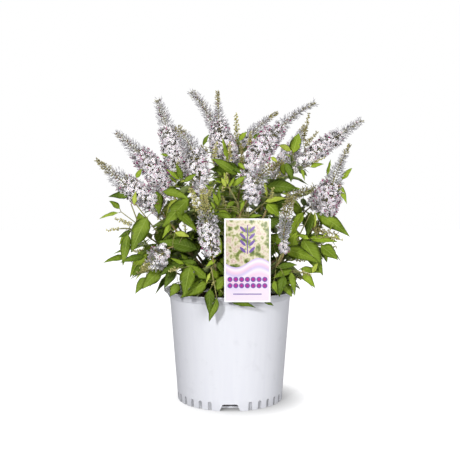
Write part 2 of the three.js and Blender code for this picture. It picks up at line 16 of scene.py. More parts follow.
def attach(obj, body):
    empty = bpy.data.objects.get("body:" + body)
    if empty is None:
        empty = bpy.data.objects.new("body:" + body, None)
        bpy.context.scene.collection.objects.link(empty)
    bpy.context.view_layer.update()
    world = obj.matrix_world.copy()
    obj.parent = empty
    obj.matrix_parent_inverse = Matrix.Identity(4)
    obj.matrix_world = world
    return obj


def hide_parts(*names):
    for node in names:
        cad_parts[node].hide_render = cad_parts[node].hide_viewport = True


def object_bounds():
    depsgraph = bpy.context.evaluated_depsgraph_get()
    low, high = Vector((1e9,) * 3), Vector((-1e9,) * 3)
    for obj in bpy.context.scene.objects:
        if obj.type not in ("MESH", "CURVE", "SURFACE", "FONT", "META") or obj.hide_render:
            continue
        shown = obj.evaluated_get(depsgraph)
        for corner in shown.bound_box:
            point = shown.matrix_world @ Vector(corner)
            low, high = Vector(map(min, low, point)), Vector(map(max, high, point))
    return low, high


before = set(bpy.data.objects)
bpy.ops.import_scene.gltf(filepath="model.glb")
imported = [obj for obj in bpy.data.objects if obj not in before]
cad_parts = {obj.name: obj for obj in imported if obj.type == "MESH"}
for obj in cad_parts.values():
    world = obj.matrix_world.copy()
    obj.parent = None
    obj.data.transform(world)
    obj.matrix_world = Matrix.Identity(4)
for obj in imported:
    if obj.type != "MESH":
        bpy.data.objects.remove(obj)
cad_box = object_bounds()

# ---- Sizes ----

MM = 0.001
UP = np.array([0.0, 0.0, 1.0])

pot = Sizes(
    height=229, foot_radius=109, shoulder_radius=125, shoulder_height=213, lip_radius=138, wall=2.4, base=4,
    sides=288,
)
notch = Sizes(count=3, foot_width=43, top_width=29, height=14, reach=25)
flute = Sizes(count=8, first=21.4, radius=4.1, depth=6.4, height=17.5, backing=11, backing_top=27)
soil = Sizes(top=210, edge_drop=4, flat_radius=34, wall_gap=0.15, lumps=1.1, sides=96, rings=14)
chip = Sizes(half=(3.4, 1.7, 0.8), knocks=0.5, dark_count=900, tan_count=330, inner_radius=19.5, wall_gap=5)
label = Sizes(width=88, height=159, thick=1, centre_x=33, foot=222, back_y=-145)
hook = Sizes(width=14, thick=1.2, rise=24, inner_y=-108)

# The crown, and the rings that boughs and low shoots leave it from. A spike whose foot is at least high_foot
# above the mix hangs on a bough from the high ring.
crown = Sizes(height=40, flare_radius=19, neck_radius=12.5, tip_radius=9, top_radius=4.5, lean=3)
crown_bark = Sizes(rings=26, sides=36, ridges=0.045, knots=0.03)
bough = Sizes(foot_radius=3.9, tip_radius=2.6, share=0.36)
high_ring = Sizes(radius=14.8, height=27, rise=68)
low_ring = Sizes(radius=16.4, height=11, rise=48)
skirt_ring = Sizes(radius=18, height=3.5, rise=30)
high_foot = 215
line_bend = Sizes(from_crown=0.4, into_spike=0.26)
stem = Sizes(tip_radius=1.3, internode=21, phase=25, first_leaves=0.2)
skirt_stem = Sizes(foot_radius=2.4, first_leaves=0.22, internode=17)
twig = Sizes(radius=1.0, splay=42, splay_range=20, shortest=26, longest=58, chance=0.42)
twig_leaf = Sizes(share=0.62, step=0.22, three_pairs=44)
side_shoot = Sizes(radius=0.7, spike_radius=0.9, first=0.22, last=0.97, bend=0.45, sag=0.04, held=12)
leaf = Sizes(longest=96, shortest=54, aspect=0.4, splay=58, low_droop=0.5, high_droop=0.22, roll=0.8)
leaf_tries = Sizes(count=4, splay_range=34, shrinks=(1, 0.82, 0.66))
tint_limits = (0.34, 0.62, 0.86)
bud_spike = Sizes(length=30, girth=4.6, missing=0.35, pair_pitch=4.6, crowding=1.9)
# Side clusters of open florets and what sits behind their florets, and whorls of unopened buds.
cyme = Sizes(pitch=11, rise=9, turn=1.1, florets=5, spread=3.3, widest=6, depth=1.1, dome=0.04, sunk=1.5)
# Calyces sit behind the florets; their dark olive is partly their own colour and partly painted shade.
cyme_behind = Sizes(grey=6, calyx=7, magenta=0.4, stalk=3)
stalk_radius = Sizes(foot=1.5, tip=0.6, branch=0.5, branch_end=0.4)
petals = Sizes(count=4, width=2.05, length=3.0, out=2.0, foot_share=0.38, foot_drop=0.3)
petal_end = Sizes(share=0.62, drop=0.5)
bristle = Sizes(pitch=2.9, grey_length=10, olive_length=4.6, grey_rise=5.2, olive_rise=4.4, fading=0.035)
# How often a floret is lilac, a magenta bud comes along, a cluster is missing or holds a floret more, and a
# bristle is magenta or has a fresh bud or a calyx inside it; the calyces' dark olive is partly painted shade.
chance = Sizes(lilac=0.33, magenta=0.4, missing=0.05, missing_below=0.3, one_more=0.6)
pink_chance = Sizes(lilac=0.6, magenta=1.2)
opening_chance = Sizes(missing=0.35)
bristle_chance = Sizes(magenta=0.04, fresh=0.3, calyx=0.2)
# How far leaves keep from other shoots, the rim, the label, the ground and the placed leaves behind them.
room = Sizes(shared=30, rim=3, label=4, proud=4, before=9, behind=6, spike_share=0.9, lowest=13)
front_room = Sizes(lowest=-4, from_y=-100, half_width=105)
# Where the bush is looked at from, which its placed leaves are turned to.
viewer = Sizes(back=1575, up=440, tilt=86.77, lens=59.3, sensor=36)
eye_point = np.array([0, -viewer.back, viewer.up - soil.top])
seed = 41

# The shoots that set the bush's outline, as on the part's drawing: name, foot and tip of the flower spike,
# its radius at six stations from foot to tip, how far its middle bows to the right and up, the size of its
# leaves, how far up the open florets and then the grey buds reach, and how far florets go on below its foot.
outline_shoots = [
    ("left_low", (-160, -50, 200), (-265, -70, 285), (22, 25, 24, 19, 11, 5), (-1, -2), 1, 0.52, 0.74, 14),
    ("left_middle", (-138, 10, 235), (-240, 12, 345), (23, 27, 26, 20, 13, 7), (5, 4), 1, 0.6, 0.95, 32),
    ("left_high", (-115, 45, 275), (-155, 55, 420), (28, 26, 23, 19, 15, 9), (2, 1), 0.9, 0.6, 0.97, 34),
    ("left_inner", (-58, -75, 234), (-104, -88, 348), (19, 24, 25, 20, 15, 8), (10, 5), 1, 0.55, 0.86, 26),
    ("rear_top", (-22, 78, 325), (-87, 96, 440), (18, 18, 16, 14, 13, 10), (8, 5), 0.8, 0.28, 0.98, 20),
    ("centre_top", (-5, -18, 280), (-25, 0, 426), (29, 31, 25, 18, 8, 6), (-6, -1), 0.9, 0.62, 0.82, 14),
    ("rear_right", (30, 96, 321), (107, 130, 396), (13, 16, 16, 12, 8, 6), (-5, 5), 0.8, 0.15, 0.76, 20),
    ("right_long", (36, -56, 256), (177, -20, 403), (18, 26, 25, 15, 9, 5), (-13, 13), 0.9, 0.58, 0.98, 12),
    ("right_high", (150, 22, 283), (278, 30, 371), (17, 19, 21, 18, 12, 8), (-1, 1), 0.9, 0.68, 0.98, 44),
    ("right_low", (192, -40, 182), (242, -40, 317), (26, 29, 23, 15, 8, 5), (-5, 2), 1, 0.4, 0.84, 8),
    ("centre_front", (38, -121, 210), (102, -140, 278), (22, 26, 22, 15, 10, 5), (-12, 8), 1, 0.4, 0.6, 2),
    ("front_right", (103, -142, 110), (116, -152, 214), (10, 10, 15, 15, 14, 11), (-6, 1), 1, 0.16, 0.6, 0),
    ("front_left", (-34, -148, 104), (-52, -164, 229), (15, 22, 22, 17, 11, 7), (0, 0), 1, 0.56, 0.62, 0),
    ("left_nodding", (-126, -112, 108), (-171, -140, 73), (17, 23, 23, 17, 11, 6), (3, -3), 1.05,
     0.6, 0.66, 0),
]
# Leafy shoots in a skirt round the foot: bearing, reach, height, leaf size.
skirt_shoots = [
    ("skirt_front", -13, 122, 50, 0.8),
    ("skirt_front_left", -40, 156, 74, 1),
    ("skirt_left_low", -63, 180, 66, 1.1),
    ("skirt_left", -80, 226, 146, 1.1),
    ("skirt_left_rear", -104, 190, 96, 1.1),
    ("skirt_rear_left", -134, 170, 74, 1.1),
    ("skirt_rear", -160, 182, 110, 1.1),
    ("skirt_rear_middle", 176, 164, 66, 1.1),
    ("skirt_rear_right", 150, 180, 104, 1.1),
    ("skirt_right_rear", 122, 170, 70, 1.1),
    ("skirt_right", 94, 200, 108, 1.1),
    ("skirt_right_low", 71, 210, 130, 1.1),
    ("skirt_front_right", 50, 178, 66, 1),
]
skirt_tip = Sizes(length=26, girth=4.5, rise=-8)
rear = Sizes(count=7, first_bearing=106, step=22.5, spike_length=132, first_from=0.24, first_to=0.78)
rear_low = Sizes(out=165, up=178, rise=36, girth=24)
rear_high = Sizes(out=132, up=262, rise=52, girth=23)
rear_spike = Sizes(profile=(0.85, 1.0, 0.95, 0.75, 0.5, 0.3), tail=16, open=0.45, grey=0.8, bow=6, bow_up=4)

# Places where the ground behind shows through the foliage from the front: how far right and up at the bush's
# middle plane, and how wide.
openings = [
    (-193, 192, 11), (-164, 168, 9), (-131, 213, 6), (-99, 152, 7), (-84, 146, 6), (-62, 88, 7),
    (-114, 64, 7), (-105, 44, 9), (-196, 130, 9), (-160, 118, 9), (-222, 165, 12), (-178, 32, 12),
    (163, 75, 8), (96, 98, 7), (150, 143, 8), (124, 182, 7), (88, 262, 6), (166, 190, 8),
    (-69, 195, 6), (128, 262, 7), (176, 250, 12), (232, 55, 14), (211, 26, 14), (-163, 43, 6),
    (-258, 118, 8), (213, 66, 12), (198, 36, 11), (192, 70, 8), (144, 68, 7), (161, 66, 8),
    (175, 64, 7), (111, 76, 6), (148, 30, 7), (159, 13, 9), (188, 20, 10), (225, 99, 8),
    (-254, 156, 10), (-242, 124, 9), (-266, 137, 8),
]

# The leaves that show best: where each leaves its stem and where its point hangs, how wide it looks from the
# front, and its tint from deep (0) to young (3).
placed_leaves = [
    ((-199, -65, 213), (-241, -75, 211), 15, 0),
    ((-219, -68, 187), (-240, -72, 203), 12, 1),
    ((-222, -60, 179), (-260, -70, 167), 6, 2),
    ((-164, -75, 171), (-195, -88, 101), 34, 1),
    ((-203, -70, 137), (-212, -82, 74), 20, 1),
    ((-198, -60, 142), (-224, -62, 129), 10, 0),
    ((-170, -50, 112), (-235, -60, 96), 8, 1),
    ((-205, -60, 90), (-252, -75, 80), 10, 1),
    ((-169, -75, 92), (-217, -85, 81), 14, 0),
    ((-174, -80, 76), (-193, -90, 53), 14, 0),
    ((-135, -100, 68), (-171, -110, 32), 25, 1),
    ((-165, -95, 54), (-185, -105, 22), 16, 1),
    ((-91, -112, 85), (-138, -125, 58), 17, 0),
    ((-76, -138, 80), (-87, -150, 21), 30, 1),
    ((-62, -104, 108), (-143, -92, 123), 29, 0),
    ((-81, -84, 207), (-133, -98, 151), 33, 1),
    ((-147, -50, 222), (-142, -58, 172), 24, 1),
    ((-134, -60, 222), (-79, -82, 205), 18, 1),
    ((-106, -92, 184), (-62, -112, 142), 19, 1),
    ((-44, -138, 55), (-88, -128, 85), 19, 1),
    ((-117, -75, 157), (-134, -80, 128), 12, 2),
    ((-107, -98, 141), (-78, -104, 133), 12, 3),
    ((-66, -118, 86), (-120, -112, 70), 19, 0),
    ((-88, -70, 141), (-119, -80, 114), 18, 1),
    ((226, -40, 245), (247, -42, 269), 12, 2),
    ((218, -45, 234), (235, -52, 196), 14, 2),
    ((196, -42, 253), (203, -44, 287), 7, 2),
    ((174, -40, 178), (240, -62, 131), 28, 1),
    ((158, -60, 128), (215, -70, 121), 16, 2),
    ((143, -75, 129), (182, -102, 57), 33, 1),
    ((181, -68, 113), (214, -80, 86), 26, 1),
    ((106, -95, 109), (172, -115, 84), 27, 1),
    ((119, -122, 71), (80, -132, 55), 16, 1),
    ((142, -105, 63), (165, -116, 35), 17, 2),
    ((137, -95, 70), (179, -106, 63), 12, 1),
    ((160, -105, 63), (171, -106, 83), 10, 3),
    ((117, -130, 68), (124, -141, 23), 13, 1),
    ((103, -134, 61), (93, -146, 22), 19, 0),
    ((71, -88, 232), (136, -104, 223), 29, 0),
    ((71, -114, 198), (96, -122, 171), 23, 2),
    ((67, -116, 202), (109, -124, 208), 12, 3),
    ((144, -80, 181), (113, -104, 127), 18, 2),
    ((162, -62, 181), (153, -74, 129), 19, 0),
    ((77, -120, 136), (111, -130, 118), 21, 1),
    ((167, -70, 149), (169, -72, 183), 9, 3),
    ((164, -20, 271), (192, -25, 277), 10, 2),
    ((119, -40, 273), (123, -46, 239), 16, 0),
    ((130, -10, 300), (142, -12, 341), 23, 2),
    ((125, -15, 304), (97, -32, 315), 12, 3),
    ((47, 40, 328), (76, 40, 349), 11, 1),
    ((19, 20, 327), (36, 22, 346), 13, 2),
    ((112, -50, 279), (126, -56, 244), 16, 0),
    ((144, -50, 267), (150, -52, 242), 6, 2),
    ((-10, -50, 279), (24, -70, 256), 16, 0),
    ((82, -60, 290), (95, -64, 278), 8, 3),
    ((16, -60, 254), (-37, -78, 287), 18, 1),
    ((-23, -114, 194), (-33, -118, 221), 11, 2),
    ((-23, -108, 186), (4, -114, 173), 10, 2),
    ((-55, -30, 314), (-42, -34, 337), 8, 1),
    ((-23, -138, 139), (-15, -142, 105), 9, 2),
    ((-40, -138, 97), (-15, -144, 106), 11, 2),
    ((-4, -60, 282), (-16, -66, 329), 9, 2),
    ((-25, -141, 19), (-40, -147, -26), 18, 1),
    ((-38, -138, 36), (-40, -144, -11), 20, 0),
    ((2, -140, 12), (49, -150, 2), 13, 0),
    ((65, -139, 13), (83, -148, 5), 8, 0),
    ((-99, -118, 43), (-116, -124, 19), 20, 1),
    ((-44, -134, 47), (-95, -142, 19), 26, 1),
    ((-52, -120, 74), (-75, -134, 32), 25, 0),
    ((84, -134, 51), (95, -143, 22), 19, 1),
    ((104, -126, 44), (119, -134, 20), 17, 1),
    ((-108, -95, 70), (-129, -104, 32), 19, 0),
    ((-29, -134, 34), (-6, -138, 61), 21, 1),
    ((-38, -141, 67), (-46, -144, 47), 6, 3),
    ((-27, -139, 92), (-46, -143, 79), 9, 2),
    ((-23, -128, 87), (-10, -136, 61), 12, 0),
    ((-88, -132, 83), (-114, -136, 95), 8, 2),
    ((-2, -44, 261), (-40, -58, 266), 19, 0),
    ((-4, -110, 236), (-12, -112, 259), 8, 3),
    ((-8, -112, 230), (-17, -115, 248), 9, 3),
    ((-14, -108, 238), (-31, -110, 242), 5, 2),
    ((-2, -112, 230), (10, -114, 250), 6, 2),
    ((4, -108, 232), (35, -112, 252), 12, 2),
    ((-16, -98, 252), (-25, -100, 261), 5, 1),
    ((-29, -110, 221), (-50, -114, 236), 9, 1),
    ((-25, -106, 192), (-21, -108, 229), 12, 1),
    ((-29, -116, 188), (-37, -118, 202), 6, 2),
    ((2, -116, 169), (-31, -120, 179), 15, 1),
    ((8, -102, 203), (-10, -108, 186), 11, 1),
    ((4, -104, 194), (21, -110, 174), 12, 1),
    ((27, -116, 204), (19, -119, 182), 8, 2),
    ((37, -118, 173), (63, -122, 175), 7, 1),
    ((71, -120, 211), (65, -123, 242), 5, 3),
    ((16, -66, 278), (30, -70, 264), 8, 2),
    ((199, -66, 143), (205, -67, 159), 4, 3),
    ((193, -66, 141), (183, -68, 127), 4, 3),
    ((207, -68, 137), (221, -70, 123), 4, 3),
    ((90, -124, 75), (130, -130, 81), 14, 0),
    ((116, -116, 66), (88, -126, 33), 19, 0),
    ((156, -84, 128), (130, -88, 136), 10, 2),
    ((-96, -112, 244), (-123, -116, 265), 10, 2),
    ((-92, -112, 244), (-104, -115, 276), 11, 1),
    ((-89, -113, 240), (-63, -118, 255), 10, 1),
    ((-127, -14, 294), (-143, -16, 298), 6, 2),
    ((-187, -66, 248), (-174, -70, 266), 10, 2),
    ((-189, -86, 195), (-184, -90, 223), 10, 3),
    ((65, -30, 145), (109, -40, 168), 24, 0),
    ((67, -40, 88), (105, -50, 112), 24, 0),
    ((77, -30, 186), (128, -40, 206), 24, 0),
    ((65, -40, 198), (105, -50, 180), 20, 0),
]
# Young spikes still in bud, each on its own side shoot: foot, tip, widest radius and colour.
young_spikes = [
    ((15, 28, 329), (13, 30, 386), 9.2, "green"),
    ((155, 40, 326), (168, 46, 387), 4.6, "olive"),
    ((155, 0, 315), (180, 0, 344), 5.4, "olive"),
    ((108, -108, 207), (165, -118, 230), 14.0, "mixed"),
    ((-196, -60, 155), (-229, -70, 169), 6.0, "green"),
    ((168, -62, 145), (215, -68, 137), 5.8, "olive"),
    ((-32, -66, 282), (-26, -70, 319), 7.1, "green"),
    ((26, -52, 264), (22, -56, 316), 6.7, "olive"),
    ((-58, -150, 186), (-74, -156, 228), 11.0, "green"),
    ((-46, -120, 206), (-34, -124, 230), 6.0, "green"),
    ((-15, -108, 221), (-6, -114, 257), 4.0, "green"),
    ((79, -117, 207), (82, -121, 230), 3.6, "green"),
    ((-86, -100, 143), (-91, -104, 164), 3.4, "green"),
    ((-2, -52, 280), (0, -56, 320), 7.1, "green"),
    ((-44, -50, 300), (-58, -52, 312), 5.0, "olive"),
    ((39, -10, 315), (43, -12, 343), 5.4, "green"),
]

# Bare lengths of stem that show between the leaves: foot, tip and radius.
placed_stems = [
    ((-36, -140, 77), (-25, -141, 19), 1.3),
    ((33, -110, 173), (67, -114, 200), 1.2),
    ((25, -108, 169), (27, -110, 205), 0.9),
    ((31, -108, 169), (31, -110, 205), 0.9),
    ((35, -110, 169), (35, -112, 200), 0.8),
    ((-183, -66, 159), (-197, -68, 197), 1.4),
    ((-144, -66, 139), (-185, -86, 197), 1.4),
    ((132, -84, 126), (162, -62, 181), 1.5),
    ((87, -118, 78), (102, -120, 105), 2.1),
    ((19, -104, 192), (-2, -110, 230), 1.5),
    ((-185, -66, 157), (-217, -66, 181), 1.1),
]
# Spikes that have only begun to open: fewer open florets, and fresh yellow-green buds to the tip.
still_opening = ("front_left", "left_nodding")
# Spikes with the most unopened magenta buds among their florets.
pinkest = ("right_low", "right_long", "left_middle")

# ---- Colours and materials ----


def shade(code):
    """An sRGB hex colour as Blender's linear numbers."""
    parts = [int(code[i : i + 2], 16) / 255 for i in (1, 3, 5)]
    return tuple(c / 12.92 if c <= 0.04045 else ((c + 0.055) / 1.055) ** 2.4 for c in parts) + (1.0,)


def add_node(tree, kind, inputs=None, stops=None, into=None, **settings):
    """Adds a node with its settings, its inputs set or linked, its ramp's stops (each a place and a colour),
    and a link on from its first output."""
    made = tree.nodes.new(kind)
    for name, value in settings.items():
        setattr(made, name, value)
    for name, value in (inputs or {}).items():
        if isinstance(value, bpy.types.NodeSocket):
            tree.links.new(value, made.inputs[name])
        else:
            made.inputs[name].default_value = value
    for i, (place, code) in enumerate(stops or []):
        ramp = made.color_ramp.elements
        stop = ramp[i] if i < 2 else ramp.new(place)
        stop.position, stop.color = place, shade(code)
    if into is not None:
        tree.links.new(made.outputs[0], into)
    return made


def start_material(name, code, roughness, ior=1.45, **surface):
    """A named material with its plain values on the shader itself: returns it, its tree and its shader."""
    made = bpy.data.materials.new(name)
    made.use_nodes = True
    tree = made.node_tree
    shader = tree.nodes["Principled BSDF"]
    made.diffuse_color = shade(code)
    plain = {"Base Color": shade(code), "Roughness": roughness, "IOR": ior, **surface}
    for socket, value in plain.items():
        shader.inputs[socket].default_value = value
    return made, tree, shader


def object_coordinates(tree, scale=(1, 1, 1), turn=(0, 0, 0), move=(0, 0, 0)):
    """Object coordinates in millimetres, then scaled, turned and moved."""
    coords = add_node(tree, "ShaderNodeTexCoord").outputs["Object"]
    in_mm = tuple(1000 * s for s in scale)
    placed = {"Vector": coords, "Scale": in_mm, "Rotation": turn, "Location": move}
    return add_node(tree, "ShaderNodeMapping", placed).outputs["Vector"]


def speckle(tree, shader, where, dark, light, size, detail, relief, spread=(0.35, 0.65)):
    """A grain whose lumps are about size millimetres across, from a dark tone in its hollows to a light one
    on its heights, which stand relief millimetres proud."""
    noise = add_node(tree, "ShaderNodeTexNoise", {"Vector": where, "Scale": 1 / size, "Detail": detail})
    stops = [(spread[0], dark), (spread[1], light)]
    add_node(tree, "ShaderNodeValToRGB", {"Fac": noise.outputs["Fac"]}, stops, shader.inputs["Base Color"])
    lift = {"Height": noise.outputs["Fac"], "Distance": relief * MM, "Strength": 0.7}
    add_node(tree, "ShaderNodeBump", lift, into=shader.inputs["Normal"])


def grained(name, code, roughness, ior, grain, along=1, **surface):
    """A material of one grain, as speckle draws it, which runs up and down where along is under 1."""
    made, tree, shader = start_material(name, code, roughness, ior, **surface)
    speckle(tree, shader, object_coordinates(tree, scale=(1, 1, along)), *grain)
    return made


def moulded_polyethylene():
    """White polyethylene, injection moulded: a soft sheen, flow lines up the wall, and faint scuffs."""
    made, tree, shader = start_material("white_polyethylene_moulded", "#D9DAE0", 0.42, 1.5)
    flow = {"Vector": object_coordinates(tree, scale=(1, 1, 0.02)), "Scale": 1 / 9, "Detail": 4.0}
    streaks = add_node(tree, "ShaderNodeTexNoise", flow).outputs["Fac"]
    rubbing = {"Vector": object_coordinates(tree), "Scale": 1 / 24, "Detail": 6.0}
    scuffs = add_node(tree, "ShaderNodeTexNoise", rubbing).outputs["Fac"]
    tints = [(0.3, "#D8D9E0"), (0.66, "#DBDCE2")]
    tone = add_node(tree, "ShaderNodeValToRGB", {"Fac": streaks}, tints).outputs["Color"]
    shares = [(0.6, "#000000"), (0.95, "#FFFFFF")]
    worn = add_node(tree, "ShaderNodeValToRGB", {"Fac": scuffs}, shares).outputs["Color"]
    blend = {"Fac": worn, "Color1": tone, "Color2": shade("#C9CAD0")}
    add_node(tree, "ShaderNodeMixRGB", blend, into=shader.inputs["Base Color"])
    gloss = {"Value": scuffs, "To Min": 0.36, "To Max": 0.5}
    add_node(tree, "ShaderNodeMapRange", gloss, into=shader.inputs["Roughness"])
    lift = {"Height": streaks, "Distance": 0.1 * MM, "Strength": 0.12}
    add_node(tree, "ShaderNodeBump", lift, into=shader.inputs["Normal"])
    return made


def polyethylene_painted_shade():
    """The same polyethylene in the drain flutes, painted grey as shade in their recesses."""
    grain = ("#ACADB2", "#C2C3C8", 5.0, 4.0, 0.1)
    return grained("white_polyethylene_dusty", "#B6B7BC", 0.7, 1.5, grain, along=0.4)


def peat_mix():
    """Damp peat and fine bark: dark crumbs a few millimetres across, quite matt."""
    return grained("peat_and_bark_mix", "#33241A", 0.95, 1.4, ("#1D140E", "#4A3424", 3.5, 6.0, 3.0))


def bark_chip(name, dark, light):
    """Composted bark chips, screened: fibrous, matt, each with its own grain."""
    return grained(name, light, 0.9, 1.4, (dark, light, 2.2, 5.0, 0.5), along=2.5)


def young_bark(name, dark, light, size):
    """Thin bark that splits into papery strips along the limb: pale ridges over a darker ground."""
    return grained(name, light, 0.82, 1.4, (dark, light, size, 6.0, 0.6, (0.38, 0.6)), along=0.22)


def green_stem(name, dark, light):
    """A soft, four-sided young stem with a felt of fine hairs, which dulls its green."""
    felt = {"Sheen Weight": 0.1, "Sheen Roughness": 0.5}
    return grained(name, light, 0.62, 1.4, (dark, light, 5.0, 4.0, 0.2), along=0.4, **felt)


def leaf_blade(name, dark, light):
    """The upper side of a leaf: a thin waxy skin, sunk along the side veins, which part from the midrib at
    every vein_pitch and run forward to the edge. It and the blade's UV map are in tenths of a metre."""
    vein_pitch = 0.065
    made, tree, shader = start_material(name, light, 0.52, 1.42, **{"Specular IOR Level": 0.14})
    blotches = {"Vector": object_coordinates(tree), "Scale": 1 / 26, "Detail": 3.0}
    blotches = add_node(tree, "ShaderNodeTexNoise", blotches).outputs["Fac"]
    tints = [(0.34, dark), (0.66, light)]
    tone = add_node(tree, "ShaderNodeValToRGB", {"Fac": blotches}, tints).outputs["Color"]
    blade = add_node(tree, "ShaderNodeUVMap", uv_map="blade").outputs["UV"]
    parts = add_node(tree, "ShaderNodeSeparateXYZ", {"Vector": blade}).outputs
    aside = add_node(tree, "ShaderNodeMath", {0: parts["X"]}, operation="ABSOLUTE").outputs[0]
    forward = {0: aside, 1: -0.85, 2: parts["Y"]}
    forward = add_node(tree, "ShaderNodeMath", forward, operation="MULTIPLY_ADD").outputs[0]
    turns = {0: forward, 1: 2 * math.pi / vein_pitch}
    turns = add_node(tree, "ShaderNodeMath", turns, operation="MULTIPLY").outputs[0]
    wave = add_node(tree, "ShaderNodeMath", {0: turns}, operation="COSINE").outputs[0]
    vein = {"Value": wave, "From Min": 0.55, "From Max": 1.0, "To Min": 0.0, "To Max": 0.09}
    vein = add_node(tree, "ShaderNodeMapRange", vein).outputs["Result"]
    veined = {"Fac": vein, "Color1": tone, "Color2": shade("#AEBD74")}
    add_node(tree, "ShaderNodeMixRGB", veined, into=shader.inputs["Base Color"])
    quilt = add_node(tree, "ShaderNodeMath", {0: wave, 1: -0.5}, operation="MULTIPLY").outputs[0]
    lift = {"Height": quilt, "Distance": 0.6 * MM, "Strength": 0.35}
    add_node(tree, "ShaderNodeBump", lift, into=shader.inputs["Normal"])
    return made


def leaf_underside():
    """The lower side of a leaf: a pale grey-green felt of fine hairs that hides the skin."""
    felt = {"Sheen Weight": 0.1, "Sheen Roughness": 0.5, "Specular IOR Level": 0.2}
    grain = ("#728248", "#93A064", 9.0, 4.0, 0.2)
    return grained("leaf_felt_pale_green", "#87965A", 0.85, 1.4, grain, **felt)


def petal(name, dark, light):
    """A floret's petals: matt, thin and finely wrinkled."""
    sheen = {"Sheen Weight": 0.1, "Sheen Roughness": 0.4}
    return grained(name, light, 0.6, 1.38, (dark, light, 4.0, 2.0, 0.1), **sheen)


def small_bud(name, dark, light):
    """Unopened buds: a dull felted tube, darker and lighter in soft patches."""
    return grained(name, light, 0.7, 1.4, (dark, light, 5.0, 2.0, 0.1))


def tongue_plastic():
    """Polypropylene, cut from the same sheet as the label's card: smooth, faintly mottled by its rolling."""
    return grained("polypropylene_tongue", "#F2F1F6", 0.35, 1.49, ("#ECEBF2", "#F7F6FA", 12.0, 2.0, 0.05))


# ---- Ways to make a mesh ----


def clear_selection():
    if bpy.context.object and bpy.context.object.mode != "OBJECT":
        bpy.ops.object.mode_set(mode="OBJECT")
    bpy.ops.object.select_all(action="DESELECT")


def pick(thing, test):
    """In edit mode, selects the corners that pass the test, with what lies between them."""
    bpy.ops.mesh.select_mode(type="VERT")
    bpy.ops.mesh.select_all(action="DESELECT")
    shape = bmesh.from_edit_mesh(thing.data)
    for corner in shape.verts:
        corner.select = bool(test(corner.co / MM))
    shape.select_flush(True)
    bmesh.update_edit_mesh(thing.data)


def finish_piece(thing, name, materials, slot, *nodes):
    """Names a finished piece, gives it its materials, hangs it on the root body, and hides the parts of the
    model that it stands for.
    """
    thing.name = thing.data.name = name
    thing.data.materials.clear()
    for look in materials:
        thing.data.materials.append(look)
    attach(thing, "root")
    if nodes:
        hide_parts(*nodes)


def apply_modifier(thing, kind, **settings):
    change = thing.modifiers.new(kind.title(), kind)
    for name, value in settings.items():
        setattr(change, name, value)
    bpy.context.view_layer.objects.active = thing
    bpy.ops.object.modifier_apply(modifier=change.name)


def take_shape(thing):
    """A modelled shape as arrays, to be repeated: corners in millimetres, and faces. The model goes."""
    corners = np.array([v.co for v in thing.data.vertices]) / MM
    faces = [tuple(f.vertices) for f in thing.data.polygons]
    bpy.data.objects.remove(thing)
    return corners, faces


def joined(parts):
    """Several (corners, faces) as one."""
    corners, faces, count = [], [], 0
    for points, links in parts:
        corners.append(points)
        faces += [tuple(i + count for i in link) for link in links]
        count += len(points)
    return np.concatenate(corners), faces


def repeated_faces(faces, looks, size, count):
    """The faces of count copies of a shape with size corners, and the look of each: triangles first."""
    links, face_looks = [], []
    for sides in sorted({len(f) for f in faces}):
        chosen = [i for i, f in enumerate(faces) if len(f) == sides]
        block = np.array([faces[i] for i in chosen]) + size * np.arange(count)[:, None, None]
        links += block.reshape(-1, sides).tolist()
        face_looks += [looks[i] for i in chosen] * count
    return links, face_looks


def repeated(shape, places, axes):
    """Copies of a shape, each moved to its place and turned and scaled by its three axes (rows)."""
    corners, faces = shape
    points = places[:, None, :] + np.einsum("pk,nkj->npj", corners, axes)
    links, _ = repeated_faces(faces, [0] * len(faces), len(corners), len(places))
    return points.reshape(-1, 3), links


def mesh_piece(name, shape, materials, slot, nodes, face_looks=None, blade_map=None):
    """A joined mesh from arrays of corners (millimetres) and faces."""
    corners, faces = shape
    mesh = bpy.data.meshes.new(name)
    mesh.from_pydata((corners * MM).tolist(), [], faces, shade_flat=False)
    thing = bpy.data.objects.new(name, mesh)
    bpy.context.scene.collection.objects.link(thing)
    finish_piece(thing, name, materials, slot, *nodes)
    if face_looks is not None:
        mesh.polygons.foreach_set("material_index", np.asarray(face_looks, dtype=np.int32))
    if blade_map is not None:
        corner_of = np.zeros(len(mesh.loops), dtype=np.int32)
        mesh.loops.foreach_get("vertex_index", corner_of)
        mesh.uv_layers.new(name="blade").data.foreach_set("uv", blade_map[corner_of].ravel())
    mesh.validate()
    mesh.update()


def unit(v):
    return v / np.linalg.norm(v, axis=-1, keepdims=True)


def turned(v, axis, angle):
    """v turned about a unit axis."""
    c, s = np.cos(angle), np.sin(angle)
    return v * c + np.cross(axis, v) * s + axis * np.dot(axis, v) * (1 - c)


def mix(a, b, share):
    return a + (b - a) * share


def seeded(start):
    """A repeatable stream of numbers from 0 to 1, the same one as in the part's source."""
    state = start & 0xFFFFFFFF

    def draw():
        nonlocal state
        state = (state + 0x6D2B79F5) & 0xFFFFFFFF
        t = ((state ^ (state >> 15)) * (state | 1)) & 0xFFFFFFFF
        t ^= (t + ((t ^ (t >> 7)) * (t | 61))) & 0xFFFFFFFF
        t &= 0xFFFFFFFF
        return (t ^ (t >> 14)) / 4294967296

    return draw


